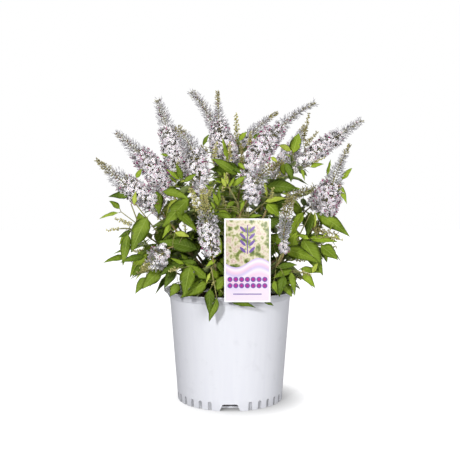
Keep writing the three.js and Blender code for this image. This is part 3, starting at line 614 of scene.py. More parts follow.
def tube(points, radii, sides, relief=None):
    """A closed tube through the points. relief(ring, side) adds to a ring's radius, in shares of it."""
    points = np.asarray(points, dtype=float)
    count = len(points)
    along = unit(np.gradient(points, axis=0))
    across = np.array([1.0, 0, 0]) if abs(along[0][2]) > 0.9 else UP
    angles = 2 * np.pi * np.arange(sides) / sides
    rings = []
    for i in range(count):
        across = unit(across - along[i] * np.dot(across, along[i]))
        beside = np.cross(along[i], across)
        radius = radii[i] * (1 + (relief(i, np.arange(sides)) if relief else 0))
        ring = np.outer(radius * np.cos(angles), across) + np.outer(radius * np.sin(angles), beside)
        rings.append(points[i] + ring)
    faces = []
    for i in range(count - 1):
        for k in range(sides):
            a, b = i * sides + k, i * sides + (k + 1) % sides
            faces.append((a, b, b + sides, a + sides))
    faces.append(tuple(range(sides))[::-1])
    faces.append(tuple((count - 1) * sides + k for k in range(sides)))
    return np.concatenate(rings), faces


# ---- The pot ----


def wall_radius(z):
    return mix(pot.foot_radius, pot.shoulder_radius, z / pot.shoulder_height)


def cut_away(thing, cutters):
    """Takes the joined cutters out of a piece."""
    clear_selection()
    for cutter in cutters:
        cutter.select_set(True)
    bpy.context.view_layer.objects.active = cutters[0]
    bpy.ops.object.join()
    tool = bpy.context.object
    clear_selection()
    apply_modifier(thing, "BOOLEAN", operation="DIFFERENCE", object=tool, solver="EXACT")
    bpy.data.objects.remove(tool)


def copies_round(thing, bearings):
    """The thing, turned to each bearing about the pot's axis, each copy with its own mesh."""
    copies = []
    for bearing in bearings:
        copy = bpy.data.objects.new(thing.name, thing.data.copy())
        copy.data.transform(Matrix.Rotation(math.radians(bearing), 4, "Z"))
        bpy.context.scene.collection.objects.link(copy)
        copies.append(copy)
    bpy.data.objects.remove(thing)
    return copies


def pull_up(sides, rings):
    """A round piece, left in edit mode: pulled up from a disc through rings of a radius and a height each."""
    radius, height = rings[0]
    clear_selection()
    bpy.ops.mesh.primitive_circle_add(vertices=sides, radius=radius * MM, fill_type="NGON")
    thing = bpy.context.object
    thing.data.transform(Matrix.Translation((0, 0, height * MM)))
    bpy.ops.object.mode_set(mode="EDIT")
    bpy.ops.mesh.select_mode(type="FACE")
    bpy.ops.mesh.select_all(action="SELECT")
    for next_radius, next_height in rings[1:]:
        lift = (0, 0, (next_height - height) * MM)
        bpy.ops.mesh.extrude_region_move(TRANSFORM_OT_translate={"value": lift})
        scale = next_radius / radius
        bpy.ops.transform.resize(value=(scale, scale, 1), center_override=(0, 0, next_height * MM))
        radius, height = next_radius, next_height
    bpy.ops.mesh.select_all(action="SELECT")
    bpy.ops.mesh.normals_make_consistent(inside=False)
    return thing


def notch_cutter():
    """A drain notch's wedge: a block drawn in at the top, with its top corners rounded."""
    depth = notch.reach + 10
    middle = -(pot.foot_radius - notch.reach + depth / 2) * MM
    bpy.ops.mesh.primitive_cube_add(size=1, location=(0, 0, 0))
    block = bpy.context.object
    block.data.transform(Matrix.Diagonal((notch.foot_width * MM, depth * MM, (notch.height + 2) * MM, 1)))
    block.data.transform(Matrix.Translation((0, middle, (notch.height - 2) / 2 * MM)))
    bpy.ops.object.mode_set(mode="EDIT")
    pick(block, lambda c: c.z > 1)
    top = (0, middle, notch.height * MM)
    bpy.ops.transform.resize(value=(notch.top_width / notch.foot_width, 1, 1), center_override=top)
    shape = bmesh.from_edit_mesh(block.data)
    bpy.ops.mesh.select_mode(type="EDGE")
    bpy.ops.mesh.select_all(action="DESELECT")
    for edge in shape.edges:
        ends = [c.co / MM for c in edge.verts]
        edge.select = all(c.z > 1 for c in ends) and abs(ends[0].y - ends[1].y) > 1
    bmesh.update_edit_mesh(block.data)
    bpy.ops.mesh.bevel(offset=3 * MM, segments=5)
    bpy.ops.object.mode_set(mode="OBJECT")
    return block


def flute_cutter():
    """A drain flute's cutter: an upright rod, round-topped, as deep as the flute and leaned like the wall."""
    bpy.ops.mesh.primitive_cylinder_add(
        vertices=24, radius=flute.radius * MM, depth=(flute.height + 4) * MM, location=(0, 0, 0)
    )
    rod = bpy.context.object
    rod.data.transform(Matrix.Translation((0, 0, (flute.height - 4) / 2 * MM)))
    bpy.ops.object.mode_set(mode="EDIT")
    pick(rod, lambda c: c.z > 1)
    bpy.ops.mesh.bevel(offset=0.9 * flute.radius * MM, segments=6)
    bpy.ops.object.mode_set(mode="OBJECT")
    leaning = math.atan((pot.shoulder_radius - pot.foot_radius) / pot.shoulder_height)
    rod.data.transform(Matrix.Scale(flute.depth / flute.radius, 4, (0, 1, 0)))
    rod.data.transform(Matrix.Rotation(leaning, 4, "X"))
    rod.data.transform(Matrix.Translation((0, -pot.foot_radius * MM, 0)))
    return rod


def model_pot():
    """Pulled up from its underside: wall, shoulder and rolled lip, and down again inside to the base."""
    shoulder, rise, lip, top = pot.shoulder_radius, pot.shoulder_height, pot.lip_radius, pot.height
    backed = wall_radius(flute.backing_top)
    profile = [
        (pot.foot_radius - 1, 0),
        (pot.foot_radius - 0.3, 0.2),
        (wall_radius(1.0), 1.0),
        (backed, flute.backing_top),
        (wall_radius(60), 60),
        (wall_radius(130), 130),
        (shoulder, rise),
        (shoulder + 0.7, rise + 0.2),
        (shoulder + 1.8, rise + 0.8),
        (shoulder + 2.2, rise + 1.8),
        (shoulder + 4, top - 11),
        (shoulder + 5.5, top - 8),
        (lip - 4.5, top - 5),
        (lip - 0.8, top - 2.2),
        (lip - 0.1, top - 1.5),
        (lip, top - 0.9),
        (lip - 0.3, top - 0.3),
        (lip - 1, top),
        (lip - 2.2, top - 0.3),
        (lip - 4, top - 1.6),
        (shoulder + 3.2, top - 7.5),
        (shoulder + 1.5, top - 10.5),
        (shoulder - 0.2, rise + 2.4),
        (shoulder - pot.wall, rise),
        (wall_radius(110) - pot.wall, 110),
        (backed - pot.wall, flute.backing_top + 6),
        (backed - flute.backing, flute.backing_top),
        (wall_radius(pot.base) - flute.backing, pot.base),
    ]
    thing = pull_up(pot.sides, profile)
    bpy.ops.object.mode_set(mode="OBJECT")

    step = 360 / notch.count
    cut_away(thing, copies_round(notch_cutter(), [step * i for i in range(notch.count)]))
    pitch = (step - 2 * flute.first) / (flute.count - 1)
    places = [step * i + flute.first + pitch * k for i in range(notch.count) for k in range(flute.count)]
    cut_away(thing, copies_round(flute_cutter(), places))
    clear_selection()
    thing.select_set(True)
    bpy.context.view_layer.objects.active = thing
    bpy.ops.object.shade_smooth_by_angle(angle=math.radians(32))
    finish_piece(thing, "nursery_pot", [moulded_polyethylene(), polyethylene_painted_shade()], "pot_plastic", "pot")
    # Faces sunk in the drain flutes take the second material: a grey painted as shade in the recesses.
    for face in thing.data.polygons:
        x, y, z = face.center / MM
        sunk_in = wall_radius(z) - math.hypot(x, y)
        if 0.5 < sunk_in < flute.backing - 0.5 and 0.5 < z < flute.height + 3:
            face.material_index = 1


def model_mix():
    """The potting mix, pulled up inside the wall, its top drawn in ring by ring and roughened."""

    def inner(z):
        backing = flute.backing if z <= flute.backing_top else pot.wall
        return wall_radius(z) - backing - soil.wall_gap

    over_notches, underside = notch.height + 2, pot.foot_radius - notch.reach - 1
    rings = [(underside, pot.base + 0.2), (underside, over_notches)]
    walls = [over_notches, flute.backing_top, flute.backing_top + 7, 110, soil.top - soil.edge_drop]
    rings += [(inner(z), z) for z in walls]
    for i in range(1, soil.rings + 1):
        share = i / soil.rings
        radius = mix(inner(soil.top), soil.flat_radius, share)
        rings.append((radius, soil.top - soil.edge_drop * (1 - share)))
    rings += [(28, soil.top), (22, soil.top)]
    thing = pull_up(soil.sides, rings)
    lowest, edge = soil.top - soil.edge_drop - 0.1, inner(soil.top) - 1
    pick(thing, lambda c: c.z > lowest and math.hypot(c.x, c.y) < edge)
    bpy.ops.transform.vertex_random(offset=soil.lumps * MM, seed=seed)
    bpy.ops.object.mode_set(mode="OBJECT")
    bpy.ops.object.shade_smooth()
    finish_piece(thing, "potting_mix_bed", [peat_mix()], "potting_mix", "potting_mix")


def model_chip():
    """One bark chip: a low-faced ball, flattened and knocked about."""
    clear_selection()
    bpy.ops.mesh.primitive_ico_sphere_add(subdivisions=1, radius=MM)
    thing = bpy.context.object
    bpy.ops.object.mode_set(mode="EDIT")
    bpy.ops.transform.resize(value=chip.half)
    bpy.ops.mesh.select_all(action="SELECT")
    bpy.ops.transform.vertex_random(offset=chip.knocks * MM, seed=seed)
    bpy.ops.object.mode_set(mode="OBJECT")
    return take_shape(thing)


def random_turns(count, noise, tilt):
    """Axes for chips: spun freely about the upright, and tilted by up to tilt radians."""
    spin = noise.uniform(0, 2 * np.pi, count)
    lean = noise.uniform(-tilt, tilt, (count, 2))
    z = unit(np.stack([np.sin(lean[:, 0]), np.sin(lean[:, 1]), np.ones(count)], axis=1))
    x = np.stack([np.cos(spin), np.sin(spin), np.zeros(count)], axis=1)
    x = unit(x - z * np.sum(x * z, axis=1, keepdims=True))
    return np.stack([x, np.cross(z, x), z], axis=1)


def scatter_chips():
    """Bark chips lying on the potting mix, from wall to crown."""
    noise = np.random.default_rng(seed)
    kinds = (
        ("bark_chips_dark", chip.dark_count, bark_chip("composted_bark_dark", "#22170F", "#4B3626")),
        ("bark_chips_tan", chip.tan_count, bark_chip("composted_bark_tan", "#4A3423", "#8A6B4B")),
    )
    outer = wall_radius(soil.top) - pot.wall - chip.wall_gap
    for name, count, look in kinds:
        radius = np.sqrt(noise.uniform(chip.inner_radius**2, outer**2, count))
        angle = noise.uniform(0, 2 * np.pi, count)
        drop = soil.edge_drop * np.clip((radius - soil.flat_radius) / (outer - soil.flat_radius), 0, 1)
        places = np.stack([radius * np.cos(angle), radius * np.sin(angle), soil.top - drop + 0.2], axis=1)
        places[:, 2] += noise.uniform(-0.3, 1.5, count)
        axes = random_turns(count, noise, 0.5) * noise.uniform(0.55, 1.5, (count, 1, 1))
        mesh_piece(name, repeated(model_chip(), places, axes), [look], "potting_mix", [])


# ---- The label ----


def printed_card():
    """Gloss-coated polypropylene card, offset printed: a white border round a soft green and cream ground
    with a sprig of oval leaves, wavy pink and lilac bands, two rows of ringed dots and a thin rule."""
    gloss = {"Coat Weight": 0.1}
    made, tree, shader = start_material("polypropylene_card_printed", "#F7F5FA", 0.32, 1.49, **gloss)
    where = object_coordinates(tree, move=(-label.centre_x, 0, -(label.foot + label.height / 2)))
    at = {}
    at["x"], _, at["z"] = add_node(tree, "ShaderNodeSeparateXYZ", {"Vector": where}).outputs

    def draw(steps):
        """Adds sums in turn. Each has a name, and an input that is a name takes that sum's result."""
        for name, operation, *values in steps:
            inputs = {i: at[v] if isinstance(v, str) else v for i, v in enumerate(values)}
            at[name] = add_node(tree, "ShaderNodeMath", inputs, operation=operation).outputs[0]

    blotches = {"Vector": where, "Scale": 1 / 10, "Detail": 4.0}
    blotches = add_node(tree, "ShaderNodeTexNoise", blotches).outputs["Fac"]
    greens = [(0.3, "#46561F"), (0.42, "#7F8B47"), (0.5, "#C3BD96")]
    greens += [(0.58, "#D9CFBE"), (0.66, "#C2A898"), (0.76, "#E2D2D2")]
    at["ground"] = add_node(tree, "ShaderNodeValToRGB", {"Fac": blotches}, greens).outputs["Color"]
    draw(
        [
            ("swing", "MULTIPLY", "x", 0.072),
            ("sine", "SINE", "swing"),
            ("level", "MULTIPLY_ADD", "sine", -9.0, "z"),
            ("along", "MULTIPLY_ADD", "level", 1 / 70, 0.9),
            ("in_waves", "LESS_THAN", "level", -4.0),
        ]
    )
    pale = [(0.0, "#E9DCE8"), (0.3, "#DDD2E8"), (0.42, "#EBCBDC"), (0.52, "#E9E2EC"), (0.6, "#CDBFE0")]
    pale += [(0.68, "#E4C6DA"), (0.76, "#EFE4EC"), (0.83, "#C6B5DC")]
    at["waves"] = add_node(tree, "ShaderNodeValToRGB", {"Fac": at["along"]}, pale).outputs["Color"]
    draw(
        [
            # The sprig: a stem, and pairs of oval leaves every 13 mm that lean up at 45 degrees.
            ("aside", "ABSOLUTE", "x"),
            ("step", "WRAP", "z", 13.0, 0.0),
            ("a", "ADD", "aside", "step"),
            ("a_off", "MULTIPLY_ADD", "a", 0.094, -1.5),
            ("b", "SUBTRACT", "aside", "step"),
            ("b_off", "MULTIPLY_ADD", "b", 0.27, -0.4),
            ("aa", "MULTIPLY", "a_off", "a_off"),
            ("round", "MULTIPLY_ADD", "b_off", "b_off", "aa"),
            ("in_leaf", "LESS_THAN", "round", 1.0),
            ("in_stem", "LESS_THAN", "aside", 0.9),
            ("either", "MAXIMUM", "in_leaf", "in_stem"),
            ("above", "GREATER_THAN", "z", 13.0),
            ("below", "LESS_THAN", "z", 67.0),
            ("narrow", "LESS_THAN", "aside", 17.0),
            ("span", "MULTIPLY", "above", "below"),
            ("shape", "MULTIPLY", "either", "narrow"),
            ("in_sprig", "MULTIPLY", "shape", "span"),
            # Two rows of ringed dots, 11 mm apart, and a rule below them.
            ("dot_x", "WRAP", "x", 5.5, -5.5),
            ("dot_z", "WRAP", "z", 6.0, -6.0),
            ("xx", "MULTIPLY", "dot_x", "dot_x"),
            ("square", "MULTIPLY_ADD", "dot_z", "dot_z", "xx"),
            ("row_low", "GREATER_THAN", "z", -54.0),
            ("row_high", "LESS_THAN", "z", -30.0),
            ("row_wide", "LESS_THAN", "aside", 38.5),
            ("rows", "MULTIPLY", "row_low", "row_high"),
            ("in_rows", "MULTIPLY", "rows", "row_wide"),
            ("disc", "LESS_THAN", "square", 24.0),
            ("heart", "LESS_THAN", "square", 7.0),
            ("in_disc", "MULTIPLY", "disc", "in_rows"),
            ("in_heart", "MULTIPLY", "heart", "in_rows"),
            ("rule_low", "COMPARE", "z", -64.0, 1.1),
            ("rule_wide", "LESS_THAN", "aside", 27.0),
            ("in_rule", "MULTIPLY", "rule_low", "rule_wide"),
            ("tall", "COMPARE", "z", 0.0, label.height / 2 - 3),
            ("wide", "LESS_THAN", "aside", label.width / 2 - 3),
            ("inside", "MULTIPLY", "tall", "wide"),
        ]
    )
    layers = [("in_waves", at["waves"]), ("in_sprig", shade("#6A4B98")), ("in_disc", shade("#73549F"))]
    layers += [("in_heart", shade("#B02C88")), ("in_rule", shade("#8673AE"))]
    art = at["ground"]
    for share, colour in layers:
        layer = {"Fac": at[share], "Color1": art, "Color2": colour}
        art = add_node(tree, "ShaderNodeMixRGB", layer).outputs["Color"]
    card = {"Fac": at["inside"], "Color1": shade("#F4F2F6"), "Color2": art}
    add_node(tree, "ShaderNodeMixRGB", card, into=shader.inputs["Base Color"])
    return made


def model_card():
    """Drawn flat, its corners rounded, pulled out to its thickness and its edges eased."""
    clear_selection()
    bpy.ops.mesh.primitive_plane_add(size=1, location=(0, 0, 0))
    thing = bpy.context.object
    thing.data.transform(Matrix.Diagonal((label.width * MM, label.height * MM, 1, 1)))
    thing.data.transform(Matrix.Rotation(math.radians(90), 4, "X"))
    middle = (label.foot + label.height / 2) * MM
    thing.data.transform(Matrix.Translation((label.centre_x * MM, label.back_y * MM, middle)))
    bpy.ops.object.mode_set(mode="EDIT")
    bpy.ops.mesh.select_all(action="SELECT")
    bpy.ops.mesh.bevel(offset=1.2 * MM, segments=4, affect="VERTICES")
    bpy.ops.mesh.select_all(action="SELECT")
    bpy.ops.mesh.extrude_region_move(TRANSFORM_OT_translate={"value": (0, -label.thick * MM, 0)})
    bpy.ops.mesh.select_all(action="SELECT")
    bpy.ops.mesh.normals_make_consistent(inside=False)
    bpy.ops.object.mode_set(mode="OBJECT")
    eased = dict(width=0.2 * MM, segments=2, limit_method="ANGLE", angle_limit=math.radians(50))
    apply_modifier(thing, "BEVEL", **eased)
    bpy.ops.object.select_all(action="DESELECT")
    thing.select_set(True)
    bpy.ops.object.shade_smooth_by_angle(angle=math.radians(40))
    finish_piece(thing, "plant_label", [printed_card()], "label_plastic", "label_card")


# ---- The shoots, by the rule in the part's source ----


def bearing_of(angle):
    """A level direction: bearing 0 is the front, -Y, and 90 is +X."""
    turn = math.radians(angle)
    return np.array([math.sin(turn), -math.cos(turn), 0.0])


def list_shoots():
    """Every shoot: those that set the outline, the rear ones, and the skirt, which starts at the crown."""
    shoots = []
    for name, foot, tip, radii, bow, leaf_size, open_share, grey_share, tail in outline_shoots:
        ring = low_ring if foot[2] < high_foot else high_ring
        made = Sizes(name=name, foot=np.array(foot, float), tip=np.array(tip, float), radii=radii)
        made.leaf_size, made.ring, made.start = leaf_size, ring, bough.share
        made.open, made.grey, made.tail = open_share, grey_share, tail
        made.bow = np.array([bow[0], 0, bow[1]])
        shoots.append(made)
    for i in range(rear.count):
        form = rear_high if i % 4 == 1 else rear_low
        out = bearing_of(rear.first_bearing + i * rear.step)
        rise = math.radians(form.rise)
        foot = out * form.out + UP * form.up
        tip = foot + (out * math.cos(rise) + UP * math.sin(rise)) * rear.spike_length
        if i == 0:
            # The first stands behind right_low, and its spike is a short one.
            foot, tip = mix(foot, tip, rear.first_from), mix(foot, tip, rear.first_to)
        ring = low_ring if form is rear_low else high_ring
        made = Sizes(name=f"rear_{i + 1}", foot=foot, tip=tip, leaf_size=1, ring=ring)
        made.radii = tuple(form.girth * share for share in rear_spike.profile)
        made.start, made.tail = bough.share, rear_spike.tail
        made.open, made.grey = rear_spike.open + 0.05 * (i % 4), rear_spike.grey + 0.05 * (i % 3)
        aside, back = rear_spike.bow * math.sin(2 * i), rear_spike.bow * math.cos(2 * i)
        made.bow = np.array([aside, back, rear_spike.bow_up])
        shoots.append(made)
    for name, bearing, out, up, leaf_size in skirt_shoots:
        rise = math.radians(skirt_tip.rise)
        foot = bearing_of(bearing) * out + UP * up
        tip = foot + (bearing_of(bearing) * math.cos(rise) + UP * math.sin(rise)) * skirt_tip.length
        made = Sizes(name=name, foot=foot, tip=tip, leaf_size=leaf_size, ring=skirt_ring, start=0)
        made.radii = (skirt_tip.girth,) * len(rear_spike.profile)
        shoots.append(made)
    return shoots


def place_feet(shoots):
    """Shares the boughs' feet out evenly round the crown, in the order of their bearings."""

    def turn(shoot):
        return (math.degrees(math.atan2(shoot.foot[0], -shoot.foot[1])) + 360) % 360

    for ring in (high_ring, low_ring, skirt_ring):
        members = sorted((s for s in shoots if s.ring is ring), key=turn)
        start = sum(turn(s) - 360 * i / len(members) for i, s in enumerate(members)) / len(members)
        for i, shoot in enumerate(members):
            out = bearing_of(start + 360 * i / len(members))
            shoot.root = out * ring.radius + UP * ring.height
            shoot.rise = out * math.cos(math.radians(ring.rise)) + UP * math.sin(math.radians(ring.rise))


def line_at(shoot, t):
    """Points on a shoot's woody line, from the crown at t = 0 to the foot of the flower spike at t = 1."""
    t = np.asarray(t, float)[..., None]
    reach = np.linalg.norm(shoot.root - shoot.foot)
    heading = unit(shoot.tip - shoot.foot)
    p1 = shoot.root + shoot.rise * line_bend.from_crown * reach
    p2 = shoot.foot - heading * line_bend.into_spike * reach
    u = 1 - t
    return shoot.root * u**3 + p1 * 3 * u * u * t + p2 * 3 * u * t * t + shoot.foot * t**3


def heading_at(shoot, t):
    """The way a shoot's line runs at t."""
    return unit(line_at(shoot, min(1, t + 0.02)) - line_at(shoot, t - 0.02))


def wood_radius(shoot, t):
    """A shoot's thickness at t: the bough up to its end, then the stem, each tapering."""
    if shoot.start == 0:
        return mix(skirt_stem.foot_radius, stem.tip_radius, t)
    if t < shoot.start:
        return mix(bough.foot_radius, bough.tip_radius, t / shoot.start)
    return mix(bough.tip_radius, stem.tip_radius, (t - shoot.start) / (1 - shoot.start))


def reach_at(radii, share):
    """A flower spike's radius at a share of the way to its tip, from its evenly spaced stations."""
    return np.interp(share, np.linspace(0, 1, len(radii)), radii)


class Space:
    """What is already taken, to tell whether a leaf or twig has room."""

    def __init__(self, shoots):
        stations = 13
        lines = [np.concatenate([line_at(s, np.linspace(0, 1, stations)), [s.tip]]) for s in shoots]
        self.starts = np.concatenate([line[:-1] for line in lines])
        self.runs = np.concatenate([line[1:] - line[:-1] for line in lines])
        self.squares = np.sum(self.runs**2, axis=1)
        self.firsts = stations * np.arange(len(shoots))
        self.feet = np.array([s.foot for s in shoots])
        self.spikes = np.array([s.tip - s.foot for s in shoots])
        self.radii = np.array([s.radii for s in shoots])
        low, high = (np.array(corner) / MM for corner in cad_box)
        self.low, self.high = low - room.proud - UP * soil.top, high + room.proud - UP * soil.top
        self.shown = np.zeros((0, 3))

    def show(self, points):
        """Keeps these points in view from the front."""
        self.shown = np.concatenate([self.shown, points])

    def hides_shown(self, points):
        """True if a leaf would hang before one of the placed leaves."""
        if not len(self.shown):
            return False
        ray, near = unit(points - eye_point), np.linalg.norm(points - eye_point, axis=1)
        shown_ray, far = unit(self.shown - eye_point), np.linalg.norm(self.shown - eye_point, axis=1)
        apart = np.linalg.norm(ray[:, None] - shown_ray, axis=2) * far
        return bool(np.any((apart < room.before) & (near[:, None] < far + room.behind)))

    def distances(self, points):
        """How far each point is from each shoot's line."""
        offset = points[:, None, :] - self.starts
        share = np.clip(np.sum(offset * self.runs, axis=2) / self.squares, 0, 1)
        away = np.linalg.norm(offset - self.runs * share[..., None], axis=2)
        return np.minimum.reduceat(away, self.firsts, axis=1)

    def clear_of_pot(self, points):
        """True above the mix, the rim and the ground, and away from the label and its tongue."""
        x, y, z = points.T
        radius = np.hypot(x, y)
        in_front = (y < front_room.from_y) & (np.abs(x) < front_room.half_width)
        beyond = np.where(in_front, front_room.lowest, room.lowest)
        over_mix = np.where(radius < pot.lip_radius, room.rim, beyond)
        inside = pot.shoulder_radius - pot.wall - 2 * room.rim
        over_wall = (radius < pot.lip_radius + room.rim) & (radius > inside)
        floor = np.where(over_wall, pot.height - soil.top + room.rim, over_mix)
        aside = np.abs(x - label.centre_x)
        beside_label = (
            (aside > label.width / 2 + room.label)
            | (z + soil.top > label.foot + label.height + room.label)
            | (z + soil.top < label.foot - room.label)
            | (y > label.back_y + room.label)
        )
        clear_of_hook = (
            (aside > hook.width / 2 + room.label)
            | (y > hook.inner_y + room.label)
            | (z > label.foot + hook.rise + hook.thick + room.label - soil.top)
        )
        return np.all((z > floor) & beside_label & clear_of_hook)

    def clear_of_spikes(self, points):
        """True if no point lies among the florets and buds of a flower spike."""
        offset = points[:, None, :] - self.feet
        share = np.clip(np.sum(offset * self.spikes, axis=2) / np.sum(self.spikes**2, axis=1), 0, 1)
        away = np.linalg.norm(offset - self.spikes * share[..., None], axis=2)
        station = np.round((self.radii.shape[1] - 1) * share).astype(int)
        return not np.any(away < room.spike_share * self.radii[np.arange(len(self.feet)), station])

    def in_opening(self, points):
        """True if a leaf would close one of the gaps that show the ground behind."""
        ray = points - eye_point
        seen = eye_point + ray * (-eye_point[1] / ray[:, 1])[:, None]
        gaps = np.array(openings)
        away = np.hypot(seen[:, None, 0] - gaps[:, 0], seen[:, None, 2] - gaps[:, 1])
        return bool(np.any(away < gaps[:, 2]))

    def has(self, points, own):
        """True if there is room at the points for a leaf or twig of the shoot with this number."""
        if np.any(points < self.low) or np.any(points > self.high) or not self.clear_of_pot(points):
            return False
        away = self.distances(points)
        if np.any(away < (away[:, own] - room.shared)[:, None]):
            return False
        return not self.hides_shown(points) and not self.in_opening(points) and self.clear_of_spikes(points)


def leaf_stations(blades, shares):
    """The middle line, left side and normal of many leaves at the shares of their length."""
    root, heading = blades["root"][:, None], blades["heading"][:, None]
    length, droop = blades["length"][:, None, None], blades["droop"][:, None, None]
    s = np.asarray(shares)[None, :, None]
    centre = root + heading * length * s - UP * droop * length * s * s
    along = unit(heading - UP * 2 * droop * s)
    level = np.where(np.abs(heading[..., 2:]) < 0.95, UP, bearing_of(0))
    side = unit(np.cross(level, heading))
    roll = blades["roll"][:, None, None]
    side = side * np.cos(roll) + np.cross(heading, side) * np.sin(roll)
    side = unit(side - along * np.sum(side * along, axis=2, keepdims=True))
    return centre, side, np.cross(along, side)


def blade_outline(blade, shares, widths):
    """Points down the middle and both edges of one leaf, for shares of its length and of its half width."""
    alone = {k: np.array([blade[k]]) for k in ("root", "heading", "length", "droop", "roll")}
    centre, side, _ = leaf_stations(alone, shares)
    half = np.array(widths)[None, :, None] * (blade["length"] * blade["aspect"] / 2)
    return np.concatenate([centre, centre + side * half, centre - side * half], axis=1)[0]


class Bush:
    """Everything that grows, gathered by kind before it is joined into pieces."""

    def __init__(self, shoots):
        self.shoots, self.space = shoots, Space(shoots)
        self.blades, self.twigs, self.small_spikes = [], [], []

    def grow_leaf(self, root, along, outward, size, droop, random, own, tint):
        """Grows a leaf from a point of a stem, turned and shrunk until it fits, or none."""
        for _ in range(leaf_tries.count):
            splay = math.radians(leaf.splay + leaf_tries.splay_range * (random() - 0.5))
            heading = unit(along * math.cos(splay) + outward * math.sin(splay))
            bend = droop * (0.7 + 0.6 * random())
            roll = 2 * leaf.roll * (random() - 0.5)
            for shrink in leaf_tries.shrinks:
                blade = dict(root=root, heading=heading, length=size * shrink, droop=bend, roll=roll)
                blade.update(aspect=leaf.aspect * (0.88 + 0.24 * random()), tint=tint)
                if self.leaf_fits(blade, own):
                    blade.update(fold=0.1 + 0.28 * random(), wave=random(), twist=random() - 0.5)
                    self.blades.append(blade)
                    return

    def leaf_fits(self, blade, own):
        """Tests all but the foot of the blade, which is among the stems in any case."""
        outline = blade_outline(blade, np.linspace(0.25, 1, 7), (0.8, 1, 1, 0.8, 0.6, 0.3, 0))
        return self.space.has(outline, own)

    def grow_pair(self, root, along, outward, size, droop, random, own, tint):
        for sign in (1, -1):
            self.grow_leaf(root, along, outward * sign, size, droop, random, own, tint)

    def grow_twig(self, root, along, outward, size, droop, random, own, tint):
        """A side twig with a few pairs of leaves and a small green spike at its end."""
        splay = math.radians(twig.splay + twig.splay_range * (random() - 0.5))
        heading = unit(along * math.cos(splay) + outward * math.sin(splay))
        length = mix(twig.shortest, twig.longest, random())
        lift = unit(heading + UP * 0.35)
        shares = np.linspace(0, 1, 6)[:, None]
        line = root + heading * length * shares + (lift - heading) * length * 0.5 * shares**2
        if not self.space.has(line[2:], own):
            return
        end_heading = unit(line[-1] - line[-2])
        self.twigs.append((line, np.linspace(twig.radius * 1.15, twig.radius * 0.7, 6)))
        pairs = 3 if length > twig_leaf.three_pairs else 2
        across = unit(np.cross(heading, outward))
        for i in range(pairs):
            share = (i + 0.9) / pairs
            k = min(5, int(round(5 * share)))
            ahead, out = unit(line[k] - line[k - 1]), turned(across, heading, math.pi / 2 * i)
            self.grow_pair(line[k], ahead, out, size * (1 - twig_leaf.step * i), droop, random, own, tint)
        if random() < bud_spike.missing:
            return
        spike_length = bud_spike.length * (0.55 + 0.6 * random())
        tip = line[-1] + end_heading * spike_length
        if self.space.has(np.array([tip]), own):
            self.small_spikes.append((line[-1], tip, bud_spike.girth * (0.7 + 0.5 * random()), "green"))

    def nearest_stem(self, place):
        """Where on a stem a side shoot to a place best starts, and the stem's heading there: near, and rather
        further in and lower down than the place."""
        best, lowest = None, math.inf
        for shoot in self.shoots:
            shares = np.linspace(side_shoot.first, side_shoot.last, 40)
            points = line_at(shoot, shares)
            away = np.linalg.norm(points - place, axis=1)
            further = np.maximum(0, np.hypot(points[:, 0], points[:, 1]) - np.hypot(place[0], place[1]))
            cost = away + 1.5 * further + 0.6 * np.maximum(0, points[:, 2] - place[2])
            k = int(np.argmin(cost))
            if cost[k] < lowest:
                best, lowest = (points[k], heading_at(shoot, shares[k])), cost[k]
        return best

    def grow_to(self, place, radius):
        """A side shoot from the nearest stem to a place."""
        start, along = self.nearest_stem(place)
        reach = np.linalg.norm(place - start)
        s = np.linspace(0, 1, 8)[:, None]
        middle = start + along * side_shoot.bend * reach - UP * side_shoot.sag * reach
        line = start * (1 - s) ** 2 + middle * 2 * s * (1 - s) + place * s**2
        self.twigs.append((line, np.linspace(radius * 1.15, radius * 0.75, 8)))

    def place_leaf(self, foot, tip, width, tint, random):
        """A leaf with its foot and point at given places, rolled so that it looks as wide as it should."""
        foot, tip = np.array(foot, float), np.array(tip, float)
        held = [end for _, end, _ in placed_stems if math.dist(end, foot) < side_shoot.held]
        if held:
            line = mix(np.array(held[0], float), foot, np.linspace(0, 1, 4)[:, None])
            self.twigs.append((line, np.full(4, side_shoot.radius)))
        else:
            self.grow_to(foot, side_shoot.radius)
        droop = 0.12 + 0.14 * random()
        length = np.linalg.norm(tip - foot)
        for _ in range(4):
            reach = tip - foot + UP * droop * length
            length = np.linalg.norm(reach)
        heading = unit(reach)
        real = max(width / 0.9, 0.33 * length)
        side = unit(np.cross(UP if abs(heading[2]) < 0.95 else bearing_of(0), heading))
        upper = np.cross(heading, side)
        view = unit(eye_point - foot)
        facing = math.atan2(-np.dot(side, view), np.dot(upper, view))
        off = math.acos(min(1, width / real))
        rolls = [facing + off, facing - off]
        roll = max(rolls, key=lambda r: upper[2] * math.cos(r) - side[2] * math.sin(r))
        blade = dict(root=foot, heading=heading, length=length, droop=droop, roll=roll, aspect=real / length)
        blade.update(tint=tint, fold=0.12 + 0.2 * random(), wave=random(), twist=0.7 * (random() - 0.5))
        self.blades.append(blade)
        points = blade_outline(blade, np.linspace(0.1, 0.95, 7), (0.5, 0.9, 1, 0.95, 0.7, 0.4, 0.15))
        self.space.show(points)

    def grow_placed(self):
        """The stems, leaves and young spikes that have places of their own."""
        random = seeded(seed + 100)
        for foot, tip, radius in placed_stems:
            foot, tip = np.array(foot, float), np.array(tip, float)
            self.grow_to(foot, radius)
            line = mix(foot, tip, np.linspace(0, 1, 6)[:, None])
            self.twigs.append((line, np.linspace(radius, 0.85 * radius, 6)))
            self.space.show(line)
        for foot, tip, width, tint in placed_leaves:
            self.place_leaf(foot, tip, width, tint, random)
        for foot, tip, girth, kind in young_spikes:
            foot, tip = np.array(foot, float), np.array(tip, float)
            self.grow_to(foot, side_shoot.spike_radius)
            self.small_spikes.append((foot, tip, girth, kind))
            self.space.show(mix(foot, tip, np.linspace(0, 1, 5)[:, None]))

